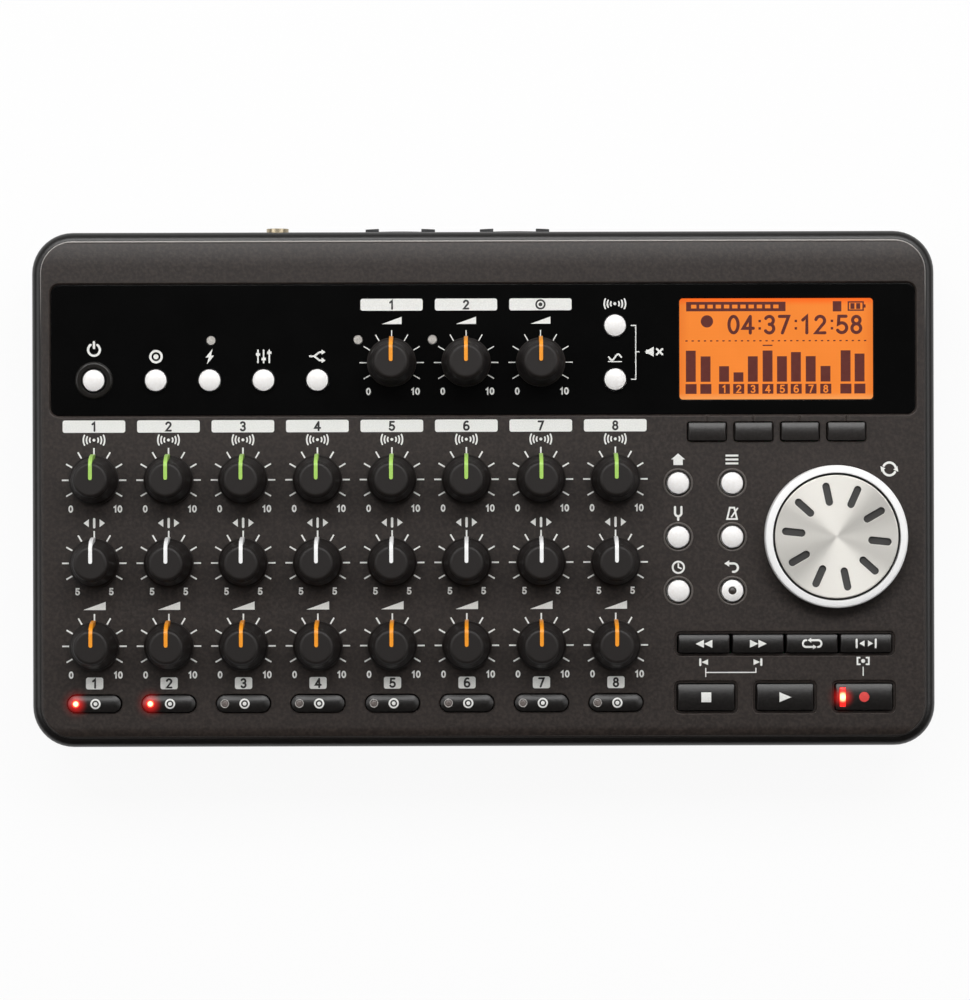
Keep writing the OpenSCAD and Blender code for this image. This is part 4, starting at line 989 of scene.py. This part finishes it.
class RECORDER_OT_signs(bpy.types.Operator):
    """Prints the signs beside the knobs and buttons, and the lines that join keys"""

    bl_idname = "recorder.signs"
    bl_label = "Signs and lines"

    def execute(self, context):
        w = measure("sign_width")
        fine = measure("fine_width")
        white = ink_finish("sign_ink", colours().ink)
        for face, z, places, lines in (
            ("panel", PANEL_Z, self.panel_places(w), self.key_lines(w, fine)),
            ("strip", GLOSS_Z, self.strip_places(w), self.mute_lines(fine)),
        ):
            pile = Pile()
            top = z + measure("ink_height")
            for sign, x, y, size in places:
                pile.slabs(placed(sign, x, y, size), top)
            pile.slabs(lines, top)
            pile.make(f"{face}_signs", white, "case", "white_plastic")
        return {"FINISHED"}

    def panel_places(self, w):
        """Signs on the panel, each with its place and size."""
        rows = (("effect", waves(w), 0.85), ("pan", side_arrows(w), 1.3), ("level", rising_wedge(), 1.25))
        places = [(sign, x, ROWS[row] + ROW_RISE, size) for x in COLUMNS for row, sign, size in rows]
        menu = (house_sign(), list_sign(), fork_sign(w), beat_sign(w), clock_sign(w), back_sign(w))
        places += [(sign, x, y + MENU_RISE, 1.2) for (x, y), sign in zip(MENU_SPOTS, menu)]
        return [*places, (turn_sign(w), *TURN_SPOT, 1.25)]

    def strip_places(self, w):
        """Signs on the gloss strip, each with its place and size."""
        knobs = [PIVOTS[name] for name in INPUT_KNOBS]
        places = [(rising_wedge(), x, y + INPUT_RISE, 1.1) for x, y in knobs]
        x, y = STANDBY
        setup = (target_sign(w), bolt_sign(), fader_sign(w), route_sign(w))
        places += [(sign, left, y + SETUP_RISE, 1.25) for left, sign in zip(SETUP_X, setup)]
        places.append((power_sign(w), x, y + STANDBY_RISE, 1.25))
        mute = zip(MUTE_Y, MUTE_RISES, (waves(w), curve_sign(w)), (0.85, 0.95))
        places += [(sign, COLUMNS[-1], y + rise, size) for y, rise, sign, size in mute]
        return [*places, (silent_sign(w), *SILENT_SPOT, 1.1)]

    def key_lines(self, w, fine):
        """A bracket under the search keys, a stub over the record key, and the signs beside them."""
        left, right, record, y = 54.0, 66.2, 92.3, -44.8
        lines = (
            [(left, y + 1.0), (left, y - 1.0)],
            [(left + 0.1, y), (right, y), (right, y + 1.0)],
            [(record, -43.6), (record, -45.6)],
        )
        signs = (
            (to_end_sign(-1, w), left, -42.3),
            (to_end_sign(1, w), right, -42.3),
            (spot_sign(w), record, -42.1),
        )
        shapes = [stroke(line, fine) for line in lines]
        for sign, x, rear in signs:
            shapes += placed(sign, x, rear, 1.15)
        return shapes

    def mute_lines(self, fine):
        """A bracket that joins the two mute buttons, and a stub from it to their sign."""
        near, far, stub = 36.1, 37.2, (37.3, 38.0)
        upper, lower = MUTE_Y
        bracket = [(near, upper), (far, upper), (far, lower), (near, lower)]
        return [stroke(bracket, fine), stroke([(x, SILENT_SPOT[1]) for x in stub], fine)]


class RECORDER_OT_buttons(bpy.types.Operator):
    """Finishes the round buttons and sets a pale grey collar round those on the panel, painted as the
    highlight on the dish's lip
    """

    bl_idname = "recorder.buttons"
    bl_label = "Round buttons"

    def execute(self, context):
        white = moulded("button_white", colours().white, 0.34, grain=0.5, depth=0.004, edge=0.25, spread=0.03)
        dress(white, *BUTTON_NODES)
        dull = {"rough": 0.3, "grain": 0.4, "depth": 0.004, "edge": 0}
        collars = Pile()
        foot = [(3.1, -0.42), (2.96, -0.62), (3.05, -0.72)]
        section = np.vstack([[(3.58, -0.12)], arc(3.4, 0.02, 0.22, -20, 180, 9), foot])
        for spot in MENU_SPOTS:
            collars.ring(spot, section + (0, PANEL_Z))
        # Painted highlight: the collar is pale grey so that it stands for the light caught by the dish's lip.
        lip_highlight = moulded("collar_black", linear(86, 81, 77), **dull)
        collars.make("button_collars", lip_highlight, "case", "key_plastic", smooth=True)
        hollow = Pile()
        dome = np.array([(0.96, 0.0), (0.96, 0.04), (0.6, 0.05), (0.42, 0.16), (0.2, 0.24), (0.0, 0.26)])
        hollow.lathe(MENU_SPOTS[-1], dome + (0, BUTTON_TOP - 0.42))
        dark = moulded("hollow_dark", linear(52, 46, 43), **dull)
        hollow.make("button_hollow", dark, "menu_buttons", "key_plastic", smooth=True)
        return {"FINISHED"}


class RECORDER_OT_keys(bpy.types.Operator):
    """Finishes the keys and prints their signs"""

    bl_idname = "recorder.keys"
    bl_label = "Keys"

    def execute(self, context):
        paint = colours()
        satin = {"rough": 0.36, "grain": 0.6, "depth": 0.012, "edge": 0.22, "fleck": 0.8}
        # The edges of the dark keys and the lit keys are painted lighter: a painted highlight.
        worn = {"spread": 0.16, "edge_sheen": 0.5}
        dress(moulded("key_satin", paint.key, **satin, **worn), *DARK_KEYS)
        dress(moulded("key_pale", scaled(paint.key, 2.0), **satin, spread=0.12), "function_keys")
        dress(moulded("key_lit", paint.key, **satin, **worn, glow=KEY_GLOW), "track_keys", "record_key")
        white = ink_finish("key_ink", paint.ink)
        red = ink_finish("record_ink", linear(228, 70, 66))
        w = measure("sign_width")
        search = placed(double_arrow(-1), TRAY_X[0], TRAY_Y) + placed(double_arrow(1), TRAY_X[1], TRAY_Y)
        loop = placed(loop_sign(w), TRAY_X[2], TRAY_Y, 1.1) + placed(span_sign(w), TRAY_X[3], TRAY_Y, 1.05)
        stop = placed([bar(-1.2, -1.2, 1.2, 1.2)], LARGE_X[0], LARGE_Y)
        play = placed([wedge((1.45, 0), (-1.4, 1.2), (-1.4, -1.2))], LARGE_X[1], LARGE_Y)
        record = placed([dot(0, 0, 1.22)], LARGE_X[2], LARGE_Y)
        track = [rails for x in COLUMNS for rails in placed(target_sign(0.42), x + 0.3, TRACK_KEY_Y, 0.95)]
        narrow = crown(TRAY_Y, NARROW_CROWN)
        large = crown(LARGE_Y, LARGE_CROWN)
        for name, shapes, top, ink, body in (
            ("search_sign", search, narrow, white, "search_keys"),
            ("loop_sign", loop, narrow, white, "loop_keys"),
            ("stop_sign", stop, large, white, "stop_key"),
            ("play_sign", play, large, white, "play_key"),
            ("record_sign", record, large, red, "record_key"),
            ("track_sign", track, crown(TRACK_KEY_Y, TRACK_CROWN), white, "track_keys"),
        ):
            pile = Pile()
            pile.slabs(shapes, top, KEY_INK_THICK, 6)
            pile.make(name, ink, body, "white_plastic")
        return {"FINISHED"}


class RECORDER_OT_lamps(bpy.types.Operator):
    """Sets lenses into the record keys and lights some of them"""

    bl_idname = "recorder.lamps"
    bl_label = "Lamps"

    def execute(self, context):
        glass = {"grain": 0.4, "depth": 0.003, "edge": 0}
        lit = lit_finish("lamp_lit", colours().lamp, LIT_LAMPS, 0.9, 5.0)
        dark = moulded("lamp_dark", linear(104, 96, 93), 0.15, **glass)
        dome = np.array([(0.86, 0.0), (0.86, 0.2), (0.78, 0.32), (0.58, 0.42), (0.3, 0.47), (0.0, 0.48)])
        for name, spots, finish in (("lit_lamps", LIT_LAMPS, lit), ("dark_lamps", DARK_LAMPS, dark)):
            pile = Pile()
            for spot in spots:
                pile.lathe(spot, dome + (0, KEY_TOP - 0.52), 24)
            pile.make(name, finish, "track_keys", "lamp_plastic", smooth=True)
        # Pale grey rings round the dark lamps: a painted highlight standing for the glint on their rims.
        rims = Pile()
        for spot in DARK_LAMPS:
            rims.ring(spot, arc(0.95, KEY_TOP - 0.08, 0.13, 0, 315, 8), 32)
        pale = moulded("lamp_rim", linear(150, 146, 142), 0.25, **glass)
        rims.make("lamp_rims", pale, "track_keys", "lamp_plastic", smooth=True)
        self.record_lamp()
        return {"FINISHED"}

    def record_lamp(self):
        """Lays a lit bar over the record key's round top."""
        x, y = RECORD_LAMP
        along = y + np.linspace(-2.3, 2.3, 13)
        rails = [np.column_stack([np.full_like(along, x + side * 0.68), along]) for side in (-1, 1)]
        top = crown(y, LARGE_CROWN)
        pile = Pile()
        pile.slab(rails, lambda px, py: top(px, py) - 0.06, 0.4)
        lit = lit_finish("record_lit", colours().lamp, [RECORD_LAMP], 1.5, 3.5)
        pile.make("record_lamp", lit, "record_key", "lamp_plastic")


class RECORDER_OT_display(bpy.types.Operator):
    """Lights the display and draws its segments"""

    bl_idname = "recorder.display"
    bl_label = "Display"

    def execute(self, context):
        paint = colours()
        light = self.back_light("display_light", paint.display)
        dress(light, "display_module")
        dark = self.segment_finish("display_segment", paint.segment)
        segments = [*self.head(), *self.clock(), *self.meters()]
        for name, groups, finish, z, thick in (
            ("display_segments", segments, dark, SEGMENT_Z, INK_THICK),
            ("display_gaps", self.gaps(), light, SEGMENT_Z + 0.02, FIGURE_THICK),
        ):
            pile = Pile()
            for shapes in groups:
                pile.slabs(placed(shapes, LCD_LEFT, LCD_TOP), z, thick)
            pile.make(name, finish, "case", "display_glass")
        return {"FINISHED"}

    def head(self):
        """The bar, the card, the battery and the dot in the display's rear part."""
        shell = [(41.3, -1.1), (44.9, -1.1), (44.9, -3.1), (41.3, -3.1)]
        return [
            [bar(1.8, -3.3, 26.0, -1.0), bar(37.5, -3.4, 39.6, -0.9)],
            [hoop(shell, 0.35)],
            [bar(41.8, -2.8, 42.8, -1.4), bar(43.2, -2.8, 44.2, -1.4), bar(45.0, -2.5, 45.5, -1.7)],
            [dot(6.85, -5.75, 1.5)],
        ]

    def clock(self):
        """Large figures with colons between them, over a dotted line."""
        figures = ((0, 13.4), (4, 16.9), (3, 22.2), (7, 25.7), (1, 31.0), (2, 34.5), (5, 39.8), (8, 43.3))
        colons = [(x, y) for x in (19.7, 28.5, 37.3) for y in (-5.7, -7.5)]
        return [
            *(placed(digit(value, 0.19), x - 1.3, -8.6, 4.1) for value, x in figures),
            [bar(x - 0.3, y - 0.3, x + 0.3, y + 0.3) for x, y in colons],
            [bar(x, -10.65, x + 0.55, -10.35) for x in np.arange(1.6, 45.5, 1.5)],
        ]

    def meters(self):
        """Level bars over boxes, and a peak mark."""
        groups = []
        for left, rise in zip(METER_LEFTS, METER_RISES):
            groups.append([bar(left, METER_FOOT, left + 2.4, METER_FOOT + rise)])
            groups.append([bar(left - 0.1, LCD_FRONT + 1.5, left + 2.6, LCD_FRONT + 3.9)])
        return [*groups, [bar(20.4, METER_FOOT + 8.7, 22.8, METER_FOOT + 9.0)]]

    def gaps(self):
        """Bright track numbers in the boxes and bright gaps in the bar."""
        boxes = zip(TRACKS, METER_LEFTS[2:])
        numbers = [number(i, left + 1.25, LCD_FRONT + 2.7, 1.7, 0.34) for i, left in boxes]
        return numbers + [[bar(x, -2.6, x + 1.3, -1.7)] for x in np.arange(3.0, 25.0, 2.0)]

    def back_light(self, name, colour):
        """Even orange light, redder at its rear edge and dimmer at its sides, with a faint grid of points."""
        finish = Finish(name)
        x, y, z = finish.axes()
        rear = finish.ramp(y, (LCD_TOP - 2.2) * MM, LCD_TOP * MM)
        left = finish.ramp(x, (LCD_LEFT + 3.0) * MM, LCD_LEFT * MM)
        right = finish.ramp(x, (LCD_RIGHT - 3.0) * MM, LCD_RIGHT * MM)
        front = finish.ramp(y, (LCD_BOTTOM + 2.0) * MM, LCD_BOTTOM * MM)
        cell = 0.36 * MM
        grid = ((x % cell) < 0.12 * cell) + ((y % cell) < 0.12 * cell)
        cloud = finish.noise(9.0, 2.0)
        glow = finish.vary(cloud, colour, 0.94, 1.05)
        for share, rgb in (
            (0.95 * rear, (255, 98, 2)),
            (0.35 * (left + right), (214, 96, 22)),
            (0.6 * front, (250, 172, 100)),
            (0.1 * grid, (180, 90, 30)),
        ):
            glow = finish.blend(share, glow, linear(*rgb))
        face = finish.ramp(z, (GLASS_Z - 0.4) * MM, (GLASS_Z - 0.1) * MM)
        glow = finish.blend(1 - face, glow, (0, 0, 0))
        base = finish.blend(cloud, (0.01, 0.008, 0.006), (0.02, 0.014, 0.01))
        rough = 0.22 + 0.05 * cloud
        return finish.shade(base_color=base, roughness=rough, emission_color=glow, emission_strength=1.0)

    def segment_finish(self, name, colour):
        """Dark crystal that lets a little of the back light through."""
        finish = Finish(name)
        cloud = finish.noise(1.2, 3.0)
        glow = finish.vary(cloud, colour, 0.75, 1.0)
        base = finish.vary(cloud, colour, 0.2, 0.3)
        rough = 0.3 + 0.1 * cloud
        return finish.shade(base_color=base, roughness=rough, emission_color=glow, emission_strength=0.8)


class RECORDER_OT_wheel(bpy.types.Operator):
    """Finishes the data wheel: a silver ring with painted shade in its groove, and a spun disc with dark
    slots
    """

    bl_idname = "recorder.wheel"
    bl_label = "Data wheel"

    def execute(self, context):
        dress(self.disc_finish(colours().spun), "wheel_cap")
        silver = self.ring_finish(colours().silver)
        dress(silver, "data_wheel")
        trim = Pile()
        upper = [(15.52, -0.06), (15.6, 0.0), (16.85, -0.1), (17.15, -0.25), (17.3, -0.55)]
        lower = [(17.34, -1.0), (17.34, -1.75), (17.0, -1.75), (15.6, -0.5)]
        trim.ring(WHEEL, np.array(upper + lower) + (0, WHEEL_TOP), 128)
        trim.make("wheel_trim", silver, "wheel", "silver", smooth=True)
        return {"FINISHED"}

    def disc_finish(self, colour):
        """Metal spun in fine rings about the wheel's axis, dark in its slots."""
        finish = Finish("spun_disc")
        grooves = {"W": distance(finish, WHEEL), "Scale": 9000.0, "Detail": 4.0, "Roughness": 0.7}
        rings = finish.node("ShaderNodeTexNoise", {"noise_dimensions": "1D"}, grooves)
        face = finish.ramp(finish.axes()[2], (WHEEL_TOP - 0.75) * MM, (WHEEL_TOP - 0.45) * MM)
        metal = finish.vary(rings, colour, 0.86, 1.08)
        return finish.shade(
            base_color=finish.blend(face, linear(66, 65, 64), metal), metallic=0.1 + 0.66 * face,
            roughness=0.5 + 0.12 * (rings - 0.5), normal=finish.bump(rings, 0.0015, finish.soft_edge(0.15)),
            anisotropic=0.9, anisotropic_rotation=0.25,
        )

    def ring_finish(self, colour):
        """Silver paint, with painted shade in the groove round the disc."""
        finish = Finish("silver_ring")
        fine = finish.noise(0.3, 3.0)
        inside = finish.ramp(distance(finish, WHEEL), 15.55 * MM, 15.4 * MM)
        base = finish.vary(fine, colour, 0.95, 1.03)
        # Painted shade: inside the groove round the disc the ring is painted dark grey.
        base = finish.blend(inside, base, linear(40, 38, 37))
        normal = finish.bump(fine, 0.003, finish.soft_edge(0.2))
        return finish.shade(base_color=base, metallic=0.0, roughness=0.3 + 0.1 * fine, normal=normal)


class RECORDER_OT_stage(bpy.types.Operator):
    """Sets the floor, the lights, the sky and the camera"""

    bl_idname = "recorder.stage"
    bl_label = "Stage"

    def execute(self, context):
        stage = context.scene.recorder_stage
        self.floor(stage)
        self.sky(stage)
        aim = Vector((0, 0, PANEL_Z * MM))
        self.light("rear_light", (0.0, 0.55, 0.85), aim, (1.2, 0.4), stage.rear_watts)
        for side, part in ((-1, 1.05), (1, 0.95)):
            self.light("side_light", (side * 0.85, 0.1, 0.85), aim, (0.6, 0.6), part * stage.side_watts)
        self.camera(stage)
        context.scene.view_settings.view_transform = "Standard"
        return {"FINISHED"}

    def floor(self, stage):
        """A wide pale floor, plain white to the camera apart from a share of its shading."""
        reach = 3.0
        mesh = bpy.data.meshes.new("floor")
        corners = [(-reach, -reach, 0), (reach, -reach, 0), (reach, reach, 0), (-reach, reach, 0)]
        mesh.from_pydata(corners, [], [(0, 1, 2, 3)])
        floor = added("floor", mesh)
        finish = Finish("floor_paper")
        paper = finish.noise(FIBRE, 3.0)
        path = finish.node("ShaderNodeLightPath").socket.node.outputs
        kinds = ("Camera", "Glossy", "Transmission")
        camera, glossy, through = (Value(finish, path[f"Is {kind} Ray"]) for kind in kinds)
        seen = finish.node("ShaderNodeMath", {"operation": "MINIMUM"}, {0: camera + glossy + through, 1: 1.0})
        pale = finish.blend(paper, (0.86, 0.86, 0.86), (0.9, 0.9, 0.9))
        pale = finish.blend(seen, (0.2, 0.2, 0.2), pale)
        matte = finish.node("ShaderNodeBsdfDiffuse", {}, {"Color": pale})
        white = finish.node("ShaderNodeEmission", {}, {"Color": (1, 1, 1, 1), "Strength": 1.0})
        finish.node_output(finish.node("ShaderNodeMixShader", {}, {0: seen * stage.glow, 1: matte, 2: white}))
        mesh.materials.append(finish.material)

    def sky(self, stage):
        """Dim light from all round, stronger behind and darker overhead, so that gloss stays dark."""
        world = bpy.data.worlds.new("studio")
        bpy.context.scene.world = world
        world.use_nodes = True
        tree = world.node_tree
        place = tree.nodes.new("ShaderNodeTexCoord")
        split = tree.nodes.new("ShaderNodeSeparateXYZ")
        ramp = tree.nodes.new("ShaderNodeValToRGB")
        for stop, height, grey in zip(ramp.color_ramp.elements, (0.35, 0.95), (1.0, 0.12)):
            stop.position = height
            stop.color = (grey, grey, grey, 1)
        back = tree.nodes["Background"]
        level = tree.nodes.new("ShaderNodeMapRange")
        level.inputs["From Min"].default_value = -1
        level.inputs["To Min"].default_value = 0.05 * stage.sky
        level.inputs["To Max"].default_value = 2.1 * stage.sky
        tree.links.new(place.outputs["Generated"], split.inputs[0])
        tree.links.new(split.outputs["Z"], ramp.inputs[0])
        tree.links.new(split.outputs["Y"], level.inputs["Value"])
        tree.links.new(ramp.outputs[0], back.inputs["Color"])
        tree.links.new(level.outputs[0], back.inputs["Strength"])

    def light(self, name, place, aim, size, watts):
        """A rectangular light that faces a point."""
        data = bpy.data.lights.new(name, "AREA")
        data.shape = "RECTANGLE"
        data.size, data.size_y = size
        data.energy = watts
        lamp = added(name, data)
        lamp.location = place
        lamp.rotation_euler = (aim - Vector(place)).to_track_quat("-Z", "Y").to_euler()

    def camera(self, stage):
        """A camera straight over the panel whose scale there is that of the picture."""
        tall_pixels = 1000
        data = bpy.data.cameras.new("camera")
        data.sensor_fit = "VERTICAL"
        data.sensor_height = 36.0
        data.lens = data.sensor_height * stage.pixels_per_metre * stage.camera_height / tall_pixels
        camera = added("camera", data)
        camera.location = (stage.camera_x, stage.camera_y, PANEL_Z * MM + stage.camera_height)
        camera.rotation_euler = (0, 0, stage.camera_roll)
        bpy.context.scene.camera = camera


OPERATORS = (
    RECORDER_OT_case,
    RECORDER_OT_inside,
    RECORDER_OT_knobs,
    RECORDER_OT_dials,
    RECORDER_OT_tabs,
    RECORDER_OT_signs,
    RECORDER_OT_buttons,
    RECORDER_OT_keys,
    RECORDER_OT_lamps,
    RECORDER_OT_display,
    RECORDER_OT_wheel,
    RECORDER_OT_stage,
)


class RECORDER_PT_looks(bpy.types.Panel):
    """Lists the recorder's looks"""

    bl_idname = "RECORDER_PT_looks"
    bl_label = "Recorder"
    bl_space_type = "VIEW_3D"
    bl_region_type = "UI"
    bl_category = "Recorder"

    def draw(self, context):
        for operator in OPERATORS:
            self.layout.operator(operator.bl_idname)
        for group in ("recorder_colours", "recorder_sizes", "recorder_stage"):
            box = self.layout.box()
            settings = getattr(context.scene, group)
            for key in settings.__annotations__:
                box.prop(settings, key)


GROUPS = {
    "recorder_colours": RecorderColours,
    "recorder_sizes": RecorderSizes,
    "recorder_stage": RecorderStage,
}
CLASSES = (*GROUPS.values(), *OPERATORS, RECORDER_PT_looks)


def register():
    """Registers the classes and hangs the settings on the scene."""
    for item in CLASSES:
        bpy.utils.register_class(item)
    for key, group in GROUPS.items():
        setattr(bpy.types.Scene, key, bpy.props.PointerProperty(type=group))


def unregister():
    """Takes the settings and the classes away again."""
    for key in GROUPS:
        delattr(bpy.types.Scene, key)
    for item in reversed(CLASSES):
        bpy.utils.unregister_class(item)


def main():
    """Builds the looks in order."""
    register()
    bpy.ops.recorder.case()
    bpy.ops.recorder.inside()
    bpy.ops.recorder.knobs()
    bpy.ops.recorder.dials()
    bpy.ops.recorder.tabs()
    bpy.ops.recorder.signs()
    bpy.ops.recorder.buttons()
    bpy.ops.recorder.keys()
    bpy.ops.recorder.lamps()
    bpy.ops.recorder.display()
    bpy.ops.recorder.wheel()
    bpy.ops.recorder.stage()


if __name__ == "__main__":
    main()
